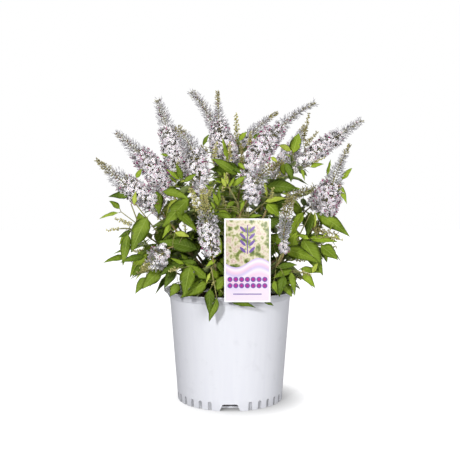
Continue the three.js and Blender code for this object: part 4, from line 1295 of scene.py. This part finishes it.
    def grow_mass(self, own):
        """One shoot's leaves: opposite pairs, each square to the last, and side twigs between them."""
        shoot = self.shoots[own]
        random = seeded(seed + own)
        skirt = shoot.start == 0
        first = (skirt_stem if skirt else stem).first_leaves
        leafy = np.linalg.norm(line_at(shoot, first) - shoot.foot)
        pairs = max(3, round(leafy / (skirt_stem.internode if skirt else stem.internode)))
        turn = math.radians(stem.phase + 90 * random())
        for j in range(pairs):
            share = (j + 0.45) / pairs
            t = mix(first, 1, share)
            root = line_at(shoot, t)
            heading = heading_at(shoot, t)
            across = turned(unit(np.array([heading[1], -heading[0], 0.0])), heading, turn + math.pi / 2 * j)
            size = shoot.leaf_size * mix(leaf.longest, leaf.shortest, share) * (0.85 + 0.3 * random())
            droop = mix(leaf.low_droop, leaf.high_droop, share)
            tint = self.tint_at(root, share, random)
            self.grow_pair(root, heading, across, size, droop, random, own, tint)
            for sign in (1, -1):
                if random() < twig.chance * (0.5 if skirt else 1):
                    outward = turned(across * sign, heading, math.pi / 2)
                    lower = line_at(shoot, t - 0.03)
                    small, tone = twig_leaf.share * size, self.tint_at(lower, share + 0.2, random)
                    self.grow_twig(lower, heading, outward, small, droop, random, own, tone)

    def tint_at(self, root, share, random):
        """Leaves are youngest near the tips; they are also deepest low down and inside and brighter outwards,
        which is painted shade.
        """
        out = np.hypot(root[0], root[1]) / 200
        score = 0.45 * share + 0.35 * out + 0.2 * root[2] / 300 + 0.5 * (random() - 0.5)
        return sum(score >= limit for limit in tint_limits)


# ---- Shapes that repeat ----

# One leaf: its stations from foot to point, how wide it is at each, and its columns from edge to edge.
blade_shares = np.array([0, 0.05, 0.13, 0.24, 0.36, 0.5, 0.64, 0.78, 0.91, 1.0])
blade_widths = np.array([0.07, 0.22, 0.64, 0.93, 1.0, 0.92, 0.71, 0.44, 0.18, 0])
blade_across = np.array([-1, -0.52, -0.05, 0.05, 0.52, 1])
blade_thickness = 1.3
blade_edge = Sizes(waves=2.2, other_side=2.1, ripple=0.11, curl=0.16)


def blade_faces():
    """One blade's faces and their looks: the upper side in five strips, the underside in two, and its end."""
    rows, columns = len(blade_shares) - 1, len(blade_across)
    tip, size = rows * columns + rows, rows * columns + rows + 1
    faces, looks = [], []
    for i in range(rows):
        a, below = i * columns, rows * columns + i
        last = i == rows - 1
        for j in range(columns - 1):
            ahead = (tip,) if last else (a + columns + j, a + columns + j + 1)
            faces.append((a + j + 1, a + j) + ahead)
            looks.append(1 if j == 2 else 0)
        left, right = a, a + columns - 1
        faces.append((left, below, tip) if last else (left, below, below + 1, left + columns))
        faces.append((below, right, tip) if last else (below, right, right + columns, below + 1))
        looks += [2, 2]
    faces.append(tuple(range(columns)) + (rows * columns,))
    looks.append(1)
    return faces, looks, size


def leaf_mesh(blades):
    """Many leaves as one mesh: folded along the midrib, waved at the edge and drooping to a long point."""
    many = {k: np.array([b[k] for b in blades]) for k in ("root", "heading", "length", "droop", "roll")}

    def each(key):
        return np.array([b[key] for b in blades])[:, None, None, None]

    half = each("length") * each("aspect") / 2
    centre, side, normal = leaf_stations(many, blade_shares)
    twist = each("twist")[..., 0] * blade_shares[None, :, None]
    cos, sin = np.cos(twist), np.sin(twist)
    side, normal = side * cos + normal * sin, normal * cos - side * sin
    u = blade_across[None, None, :, None]
    w = blade_widths[None, :, None, None]
    s = blade_shares[None, :, None, None]
    phase = np.where(u > 0, blade_edge.other_side, 0)
    ripple = np.sin(2 * np.pi * (blade_edge.waves * s + each("wave")) + phase) * blade_edge.ripple * u**2
    lift = (each("fold") * np.abs(u) - blade_edge.curl * u**2 + ripple) * w * half
    upper = centre[:, :, None, :] + side[:, :, None, :] * (u * w * half) + normal[:, :, None, :] * lift
    under = centre - normal * blade_thickness * blade_widths[None, :, None]
    count = len(blades)
    corners = np.concatenate([upper[:, :-1].reshape(count, -1, 3), under[:, :-1], upper[:, -1, 2:3]], axis=1)
    across = np.broadcast_to(u * w * half / 100, upper.shape[:3] + (1,))
    along = np.broadcast_to(s * each("length") / 100, upper.shape[:3] + (1,))
    flat = np.concatenate([across, along], axis=3)
    middle = np.concatenate([0 * along[:, :-1, 0], along[:, :-1, 0]], axis=2)
    flat = np.concatenate([flat[:, :-1].reshape(count, -1, 2), middle, flat[:, -1, 2:3]], axis=1)
    faces, looks, size = blade_faces()
    links, face_looks = repeated_faces(faces, looks, size, count)
    return (corners.reshape(-1, 3), links), face_looks, flat.reshape(-1, 2)


def model_floret():
    """One open floret, 7 mm across: a petal drawn from a plane, spun four times round a narrow tube."""
    clear_selection()
    bpy.ops.mesh.primitive_grid_add(x_subdivisions=1, y_subdivisions=2, size=1)
    thing = bpy.context.object
    thing.data.transform(Matrix.Diagonal((petals.width * MM, petals.length * MM, 1, 1)))
    thing.data.transform(Matrix.Translation((0, petals.out * MM, 0)))
    bpy.ops.object.mode_set(mode="EDIT")
    pick(thing, lambda c: c.y < 1)
    bpy.ops.transform.resize(value=(petals.foot_share, 1, 1))
    bpy.ops.transform.translate(value=(0, 0, -petals.foot_drop * MM))
    pick(thing, lambda c: c.y > 3)
    bpy.ops.transform.resize(value=(petal_end.share, 1, 1))
    bpy.ops.transform.translate(value=(0, 0, -petal_end.drop * MM))
    bpy.ops.mesh.select_all(action="SELECT")
    turn = dict(steps=petals.count, angle=2 * math.pi, dupli=True)
    bpy.ops.mesh.spin(center=(0, 0, 0), axis=(0, 0, 1), **turn)
    bpy.ops.mesh.select_all(action="SELECT")
    bpy.ops.mesh.remove_doubles(threshold=0.02 * MM)
    throat = dict(vertices=3, radius1=0.35 * MM, radius2=0.7 * MM, depth=6 * MM, end_fill_type="NOTHING")
    bpy.ops.mesh.primitive_cone_add(location=(0, 0, -3.2 * MM), **throat)
    bpy.ops.object.mode_set(mode="OBJECT")
    return take_shape(thing)


def model_eye():
    """A floret's eye: the small raised ring round its throat."""
    clear_selection()
    ring = dict(vertices=4, radius1=0.75 * MM, radius2=0, depth=0.6 * MM, end_fill_type="NOTHING")
    bpy.ops.mesh.primitive_cone_add(location=(0, 0, 0.1 * MM), **ring)
    return take_shape(bpy.context.object)


def model_bud(widest, length):
    """An unopened bud: a slim three-sided tube, swollen towards its end, drawn out from a cone."""
    clear_selection()
    foot = dict(vertices=3, radius1=0.25 * MM, radius2=widest * MM, depth=0.72 * length * MM)
    bpy.ops.mesh.primitive_cone_add(end_fill_type="NGON", location=(0, 0, 0.36 * length * MM), **foot)
    thing = bpy.context.object
    bpy.ops.object.transform_apply(location=True, rotation=False, scale=False)
    bpy.ops.object.mode_set(mode="EDIT")
    pick(thing, lambda c: c.z > 0.7 * length)
    bpy.ops.mesh.extrude_region_move(TRANSFORM_OT_translate={"value": (0, 0, 0.28 * length * MM)})
    bpy.ops.transform.resize(value=(0.35, 0.35, 1))
    bpy.ops.object.mode_set(mode="OBJECT")
    return take_shape(thing)


# ---- The blossom ----


def square_to(axis):
    """Two unit directions square to an axis and to each other."""
    side = unit(np.cross(axis, UP if abs(axis[2]) < 0.9 else bearing_of(0)))
    return side, np.cross(axis, side)


class Blossom:
    """Florets and buds by kind: for each, where it sits, which way it faces and how large it is."""

    kinds = ("white", "lilac", "calyx", "grey", "olive", "magenta", "green")

    def __init__(self, noise):
        self.noise = noise
        self.items = {kind: [] for kind in self.kinds}
        self.stalks = []

    def put(self, kind, place, facing, size):
        self.items[kind].append((place, facing, size))

    def axes(self, kind):
        """Where all of one kind sit, and the axes that turn and scale each, freely spun about its facing."""
        place, facing, size = (np.array(part) for part in zip(*self.items[kind]))
        spin = unit(self.noise.normal(size=facing.shape))
        x = unit(spin - facing * np.sum(spin * facing, axis=1, keepdims=True))
        return place, np.stack([x, np.cross(facing, x), facing], axis=1) * size[:, None, None]

    def grow_cyme(self, centre, out, fade, pinkish):
        """A side cluster: a few florets in a low dome, with calyces whose dark olive is partly painted shade
        in the gaps, and at times a bud or two behind.
        """
        noise = self.noise
        first = unit(np.cross(out, noise.normal(size=3)))
        second = np.cross(out, first)
        odds = pink_chance if pinkish else chance
        for _ in range(cyme.florets + (noise.uniform() < chance.one_more)):
            a, b = np.clip(noise.normal(0, cyme.spread, 2), -cyme.widest, cyme.widest)
            spread = first * a + second * b
            place = centre + spread + out * (noise.normal(0, cyme.depth) - cyme.dome * (a * a + b * b))
            facing = unit(out + 0.1 * spread + noise.normal(0, 0.22, 3))
            if noise.uniform() < fade:
                self.put("grey", place - facing * cyme_behind.grey, facing, noise.uniform(0.8, 1.1))
                continue
            look = "lilac" if noise.uniform() < odds.lilac else "white"
            self.put(look, place, facing, noise.uniform(0.8, 1.08))
        for _ in range(2):
            facing = unit(out + noise.normal(0, 0.6, 3))
            self.put("calyx", centre - out * cyme_behind.calyx, facing, noise.uniform(0.8, 1.2))
        for _ in range(noise.poisson(odds.magenta)):
            facing = unit(out + noise.normal(0, 0.4, 3))
            place = centre + first * noise.normal(0, 3) - out * cyme_behind.magenta
            self.put("magenta", place, facing, noise.uniform(0.85, 1.3))

    def grow_spike(self, shoot):
        """From the foot up: open florets in side clusters, then long grey buds, then small olive ones."""
        noise = self.noise
        axis, length = unit(shoot.tip - shoot.foot), np.linalg.norm(shoot.tip - shoot.foot)
        side, beside = square_to(axis)

        def spine(s):
            if s < 0:
                return line_at(shoot, 1 + s * length / np.linalg.norm(shoot.root - shoot.foot))
            return shoot.foot + axis * length * s + shoot.bow * 4 * s * (1 - s)

        stalk = np.array([spine(s) for s in np.linspace(0, 0.97, 12)])
        self.stalks.append((stalk, np.linspace(stalk_radius.foot, stalk_radius.tip, 12)))
        opening = shoot.name in still_opening
        odds = opening_chance if opening else chance
        first = -shoot.tail / length
        s, turn = first, noise.uniform(0, 2 * math.pi)
        while s < shoot.open:
            reach = float(reach_at(shoot.radii, s)) * (1 if s >= 0 else 1 - 0.4 * s / first)
            turn += cyme.turn
            fade = max(0.0, (s / shoot.open - 0.55) * 1.3) + 0.05
            count = max(4, int(round(2 * math.pi * reach / cyme.pitch)))
            missing = odds.missing if opening or s >= 0 else chance.missing_below
            for k in range(count):
                if noise.uniform() < missing:
                    continue
                angle = turn + 2 * math.pi * k / count + noise.normal(0, 0.12)
                out = side * math.cos(angle) + beside * math.sin(angle)
                place = spine(s + noise.normal(0, 2.4) / length)
                lean = mix(-0.2, 0.5, min(1, max(0, s) * 2.5)) + noise.normal(0, 0.12)
                facing = unit(out * math.cos(lean) + axis * math.sin(lean))
                centre = place + out * (reach - cyme.sunk) * noise.uniform(0.84, 1.03)
                self.grow_cyme(centre, facing, fade, shoot.name in pinkest)
                stalk = np.array([place, centre - out * cyme_behind.stalk])
                self.stalks.append((stalk, np.array([stalk_radius.branch, stalk_radius.branch_end])))
            s += cyme.rise / length
        s = 0.5 * shoot.open
        while s < 0.985:
            reach = float(reach_at(shoot.radii, s))
            turn += cyme.turn
            olive = 1 / (1 + math.exp(-(s - shoot.grey) / bristle.fading))
            full = 0.35 if s < shoot.open else 1
            fresh = "green" if opening else "olive"
            self.grow_bristles(fresh, olive, full, spine(s), axis, side, beside, reach, turn)
            s += mix(bristle.grey_rise, bristle.olive_rise, olive) / length

    def grow_bristles(self, fresh, olive, full, place, axis, side, beside, reach, turn):
        """A whorl of buds that stand out like bristles, grey or short and fresh, with fresh ones inside."""
        noise = self.noise
        count = max(6, int(full * 2 * math.pi * (0.6 * reach + 2) / bristle.pitch))
        for k in range(count):
            grey = noise.uniform() >= olive
            long = bristle.grey_length if grey else bristle.olive_length
            angle = turn + 2 * math.pi * k / count + noise.normal(0, 0.25)
            out = side * math.cos(angle) + beside * math.sin(angle)
            lean = noise.uniform(0.2, 1.0) if grey else noise.uniform(0.45, 1.1)
            facing = unit(out * math.cos(lean) + axis * math.sin(lean) + noise.normal(0, 0.15, 3))
            size = noise.uniform(0.7, 1.15)
            far = reach * noise.uniform(0.6, 1.12) * (1 if grey else 0.85)
            out_to = max(0.8, far - long * size * math.cos(lean))
            look = fresh
            if grey:
                look = "magenta" if noise.uniform() < bristle_chance.magenta else "grey"
            self.put(look, place + out * out_to + axis * noise.normal(0, 1.6), facing, size)
            if noise.uniform() < bristle_chance.fresh:
                self.put(fresh, place + out * min(3.5, out_to), facing, size * 0.9)
            # Now and then a calyx inside the whorl, dark olive partly as painted shade.
            if noise.uniform() < bristle_chance.calyx:
                self.put("calyx", place + out * out_to * 0.4, facing, size * 0.7)

    def grow_small_spike(self, foot, tip, girth, kind):
        """A young spike: opposite clumps of tiny buds, each pair square to the last, finer to the tip."""
        noise = self.noise
        axis, length = unit(tip - foot), np.linalg.norm(tip - foot)
        side, beside = square_to(axis)
        stalk = np.array([foot, mix(foot, tip, 0.5), mix(foot, tip, 0.97)])
        self.stalks.append((stalk, np.array([0.9, 0.8, 0.5])))
        pairs = max(3, int(length / bud_spike.pair_pitch))
        turn = noise.uniform(0, math.pi)
        for i in range(pairs):
            s = (i + 0.6) / pairs
            reach = girth * (1 - 0.6 * s**1.5) * noise.uniform(0.8, 1.12)
            for half in range(2):
                angle = turn + math.pi * half + noise.normal(0, 0.2)
                out = side * math.cos(angle) + beside * math.sin(angle)
                clump = mix(foot, tip, s) + out * max(0.3, 0.5 * reach - 0.6) + axis * noise.normal(0, 0.8)
                for k in range(max(4, int(bud_spike.crowding * reach))):
                    facing = unit(0.8 * out + axis * noise.uniform(0.1, 0.9) + noise.normal(0, 0.5, 3))
                    look = kind if kind != "mixed" else ("olive", "grey", "olive", "calyx")[k % 4]
                    place = clump + noise.normal(0, 0.17 * reach, 3)
                    self.put(look, place, facing, noise.uniform(0.7, 1.05) * (0.55 if look == "grey" else 1))
            turn += math.pi / 2


# ---- The plant ----


def grow_plant():
    """Placed stems and leaves first, then each shoot's own leaves, which leave them in view."""
    shoots = list_shoots()
    place_feet(shoots)
    bush = Bush(shoots)
    bush.grow_placed()
    for own in range(len(shoots)):
        bush.grow_mass(own)
    return bush


def raise_up(shape):
    """From heights above the potting mix to the frame."""
    return shape[0] + UP * soil.top, shape[1]


def make_crown(noise):
    """The crown, flared at its foot and leaning a little, with ridged and knotted bark."""
    rings, sides = crown_bark.rings, crown_bark.sides
    shares = np.linspace(0, 1, rings)
    flare = [crown.flare_radius, 16.1, crown.neck_radius, crown.tip_radius, 7.2, crown.top_radius]
    radii = np.interp(shares, [0, 0.12, 0.35, 0.8, 0.95, 1], flare)
    points = np.stack([crown.lean * shares**2, 0 * shares, 0.3 + crown.height * shares], axis=1)
    ridges = noise.normal(0, 1, sides)
    knots = noise.normal(0, 1, (rings, sides))
    relief = lambda i, k: crown_bark.ridges * ridges[k] + crown_bark.knots * knots[i, k]
    bark = young_bark("old_bark_ridged", "#57432E", "#A08862", 4.0)
    mesh_piece("woody_crown", raise_up(tube(points, radii, sides, relief)), [bark], "bark", ["crown"])


def make_limbs(bush, noise):
    """Boughs with ridged bark: returns the shapes of the stems that go on from them, each with its shoot."""
    boughs, stems = [], []
    for own, shoot in enumerate(bush.shoots):
        if shoot.start:
            count, around = 16, 10
            t = np.linspace(0, shoot.start, count)
            swelling = 1 + 0.05 * np.sin(8 * t / shoot.start + own)
            radii = np.array([wood_radius(shoot, v) for v in t]) * swelling
            ridges = noise.normal(0, 0.07, around)
            rough = noise.normal(0, 0.04, (count, around))
            boughs.append(tube(line_at(shoot, t), radii, around, lambda i, k: ridges[k] + rough[i, k]))
        t = np.linspace(shoot.start, 1, 22)
        radii = np.array([wood_radius(shoot, v) for v in t])
        stems.append((shoot, tube(line_at(shoot, t), radii, 6)))
    limbs = [f"bough_{s.name}" for s in bush.shoots if s.start]
    bark = young_bark("young_bark_papery", "#6B553B", "#A88F68", 3.0)
    mesh_piece("boughs", raise_up(joined(boughs)), [bark], "bark", limbs)
    return stems


# Leaves from deep to young, the deep tints partly painted shade inside the bush: piece, skin, and the skin's
# dark and light tones and the midrib's light one.
leaf_tints = [
    ("leaves_deep", "leaf_skin_deep_green", "#3E5211", "#5A701C", "#677A2C"),
    ("leaves_mid", "leaf_skin_mid_green", "#556A14", "#758A28", "#809433"),
    ("leaves_bright", "leaf_skin_bright_green", "#728A1E", "#93A834", "#9CAF41"),
    ("leaves_young", "leaf_skin_young_green", "#92A236", "#B4C152", "#BECA62"),
]


def make_stems(bush, stems, foliage):
    """The tan stems that carry flower spikes, and the green ones of the low shoots with all the twigs."""
    woody = [shape for shoot, shape in stems if shoot.start]
    leafy = [shape for shoot, shape in stems if not shoot.start]
    twigs = [tube(line, radii, 5) for line, radii in bush.twigs]
    brown = green_stem("stem_skin_tan", "#7C6A44", "#A6935F")
    green = green_stem("stem_skin_green", "#6F6D3A", "#989459")
    foliage("flowering_stems", joined(woody), [brown])
    foliage("leafy_twigs", joined(leafy + twigs), [green])


def make_leaves(bush, foliage):
    """All the leaves, a piece for each tint."""
    under = leaf_underside()
    for tint, (name, look, dark, light, rib) in enumerate(leaf_tints):
        blades = [b for b in bush.blades if b["tint"] == tint]
        shape, face_looks, blade_map = leaf_mesh(blades)
        midrib = green_stem(look.replace("skin", "midrib"), light, rib)
        foliage(name, shape, [leaf_blade(look, dark, light), midrib, under], face_looks, blade_map)


def make_blossom(bush, foliage):
    """The flower spikes: stalks, open florets with their eyes, and buds, a piece for each kind."""
    blossom = Blossom(np.random.default_rng(seed + 2))
    for shoot in bush.shoots:
        if shoot.start:
            blossom.grow_spike(shoot)
        else:
            blossom.grow_small_spike(shoot.foot, shoot.tip, shoot.radii[0], "green")
    for foot, tip, girth, kind in bush.small_spikes:
        blossom.grow_small_spike(foot, tip, girth, kind)
    stalks = joined([tube(line, radii, 5) for line, radii in blossom.stalks])
    foliage("flower_stalks", stalks, [green_stem("stalk_felt_olive", "#7A7443", "#9C955C")])

    floret, eye = model_floret(), model_eye()
    looks = {
        "white": petal("petal_white", "#F3F0F6", "#FEFDFF"),
        "lilac": petal("petal_lilac_tinged", "#E3DCE8", "#F3F0F6"),
        "tube": small_bud("floret_tube_grey_lilac", "#A29CA3", "#CAC5CB"),
        # The calyces' dark olive is partly their own colour and partly painted shade in the gaps between
        # florets.
        "calyx": small_bud("calyx_felt_dull_olive", "#3F3C2E", "#69644E"),
        "grey": small_bud("bud_felt_grey_lilac", "#9B999F", "#E6E4E8"),
        "olive": small_bud("bud_felt_olive", "#857C46", "#B5AC72"),
        "magenta": small_bud("bud_magenta", "#8E2560", "#B84886"),
        "green": small_bud("bud_felt_yellow_green", "#AEA85C", "#D8D290"),
    }
    eyes, tube_sides = [], 3
    petal_faces = len(floret[1]) - tube_sides
    for kind in ("white", "lilac"):
        places, axes = blossom.axes(kind)
        parts = ([0] * petal_faces + [1] * tube_sides) * len(places)
        foliage(f"florets_{kind}", repeated(floret, places, axes), [looks[kind], looks["tube"]], parts)
        eyes.append(repeated(eye, places, axes))
    orange = small_bud("floret_eye_orange", "#B4632C", "#DE9A55")
    foliage("floret_eyes", joined(eyes), [orange])
    shapes = {
        "grey": model_bud(0.75, bristle.grey_length),
        "calyx": model_bud(0.9, 6.5),
        "olive": model_bud(1.0, bristle.olive_length),
        "magenta": model_bud(1.1, 3.6),
        "green": model_bud(1.1, 3.4),
    }
    for kind, bud in shapes.items():
        places, axes = blossom.axes(kind)
        foliage(f"buds_{kind}", repeated(bud, places, axes), [looks[kind]])


def make_plant():
    """Grows the bush and makes its pieces: wood first, then stems, leaves and blossom."""
    bush = grow_plant()
    masses = [f"foliage_{s.name}" for s in bush.shoots]

    def foliage(name, shape, looks, *maps):
        mesh_piece(name, raise_up(shape), looks, "foliage", masses, *maps)

    noise = np.random.default_rng(seed + 1)
    make_crown(noise)
    make_stems(bush, make_limbs(bush, noise), foliage)
    make_leaves(bush, foliage)
    make_blossom(bush, foliage)


# ---- The stage ----


def set_camera(scene):
    camera = bpy.data.objects.new("camera", bpy.data.cameras.new("camera"))
    scene.collection.objects.link(camera)
    camera.location = (0, -viewer.back * MM, viewer.up * MM)
    camera.rotation_euler = (math.radians(viewer.tilt), 0, 0)
    camera.data.lens, camera.data.sensor_width = viewer.lens, viewer.sensor
    scene.camera = camera


def floor_glow_painted_shadow():
    """A matt floor that glows white to the camera and throws little light up. Its glow is dimmed as a painted
    contact shadow where something stands close, most of all to the right of it."""
    dull = {"Specular IOR Level": 0.0}
    made, tree, shader = start_material("light_table_acrylic_matt", "#848486", 0.9, **dull)
    shader.inputs["Emission Color"].default_value = (1, 1, 1, 1)
    # The slanted normal leans the painted contact shadow to the right of what stands on the floor.
    aslant = add_node(tree, "ShaderNodeCombineXYZ", {"X": -0.62, "Y": -0.1, "Z": 0.78}).outputs["Vector"]
    near = {"Distance": 0.066, "Normal": aslant}
    painted_contact_shadow = add_node(tree, "ShaderNodeAmbientOcclusion", near, samples=16)
    seen = add_node(tree, "ShaderNodeLightPath").outputs["Is Camera Ray"]
    glow = {0: painted_contact_shadow.outputs["AO"], 1: seen}
    glow = add_node(tree, "ShaderNodeMath", glow, operation="MULTIPLY").outputs[0]
    glow = {"Value": glow, "To Min": 0.02, "To Max": 0.96}
    add_node(tree, "ShaderNodeMapRange", glow, into=shader.inputs["Emission Strength"])
    return made


def lay_floor():
    clear_selection()
    bpy.ops.mesh.primitive_plane_add(size=12, location=(0, 0, 0))
    floor = bpy.context.object
    floor.name = "floor"
    floor.data.materials.append(floor_glow_painted_shadow())


def hang_sky(scene):
    """A studio of white that only the camera sees in full: what it lights, it lights dimly."""
    world = bpy.data.worlds.new("studio")
    world.use_nodes = True
    scene.world = world
    tree = world.node_tree
    lit = tree.nodes["Background"]
    lit.inputs["Color"].default_value = (1, 1, 1, 1)
    lit.inputs["Strength"].default_value = 0.08
    seen = add_node(tree, "ShaderNodeBackground", {"Color": (1, 1, 1, 1), "Strength": 1.0})
    path = add_node(tree, "ShaderNodeLightPath")
    either = {0: path.outputs["Is Camera Ray"], 1: lit.outputs[0], 2: seen.outputs[0]}
    surface = tree.nodes["World Output"].inputs["Surface"]
    add_node(tree, "ShaderNodeMixShader", either, into=surface)


def hang_sun(scene, name, place, spread, power):
    light = bpy.data.lights.new(name, "SUN")
    light.angle, light.energy = math.radians(spread), power
    held = bpy.data.objects.new(name, light)
    held.location = place
    held.rotation_euler = (-Vector(place)).to_track_quat("-Z", "Y").to_euler()
    scene.collection.objects.link(held)


def set_stage():
    scene = bpy.context.scene
    scene.view_settings.view_transform = "Standard"
    set_camera(scene)
    lay_floor()
    hang_sky(scene)
    hang_sun(scene, "key", (-1.0, -1.9, 0.78), 7, 2.2)
    hang_sun(scene, "fill", (1.0, -1.9, 0.5), 30, 1.9)
    hang_sun(scene, "left", (-1.9, -0.4, 0.9), 60, 0.55)
    hang_sun(scene, "right", (1.9, -0.4, 0.9), 60, 0.6)
    hang_sun(scene, "back", (0.1, 1.8, 1.1), 60, 1.9)


model_pot()
model_card()
model_mix()
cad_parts["label_hook"].material_slots[0].material = tongue_plastic()
scatter_chips()
make_plant()
set_stage()
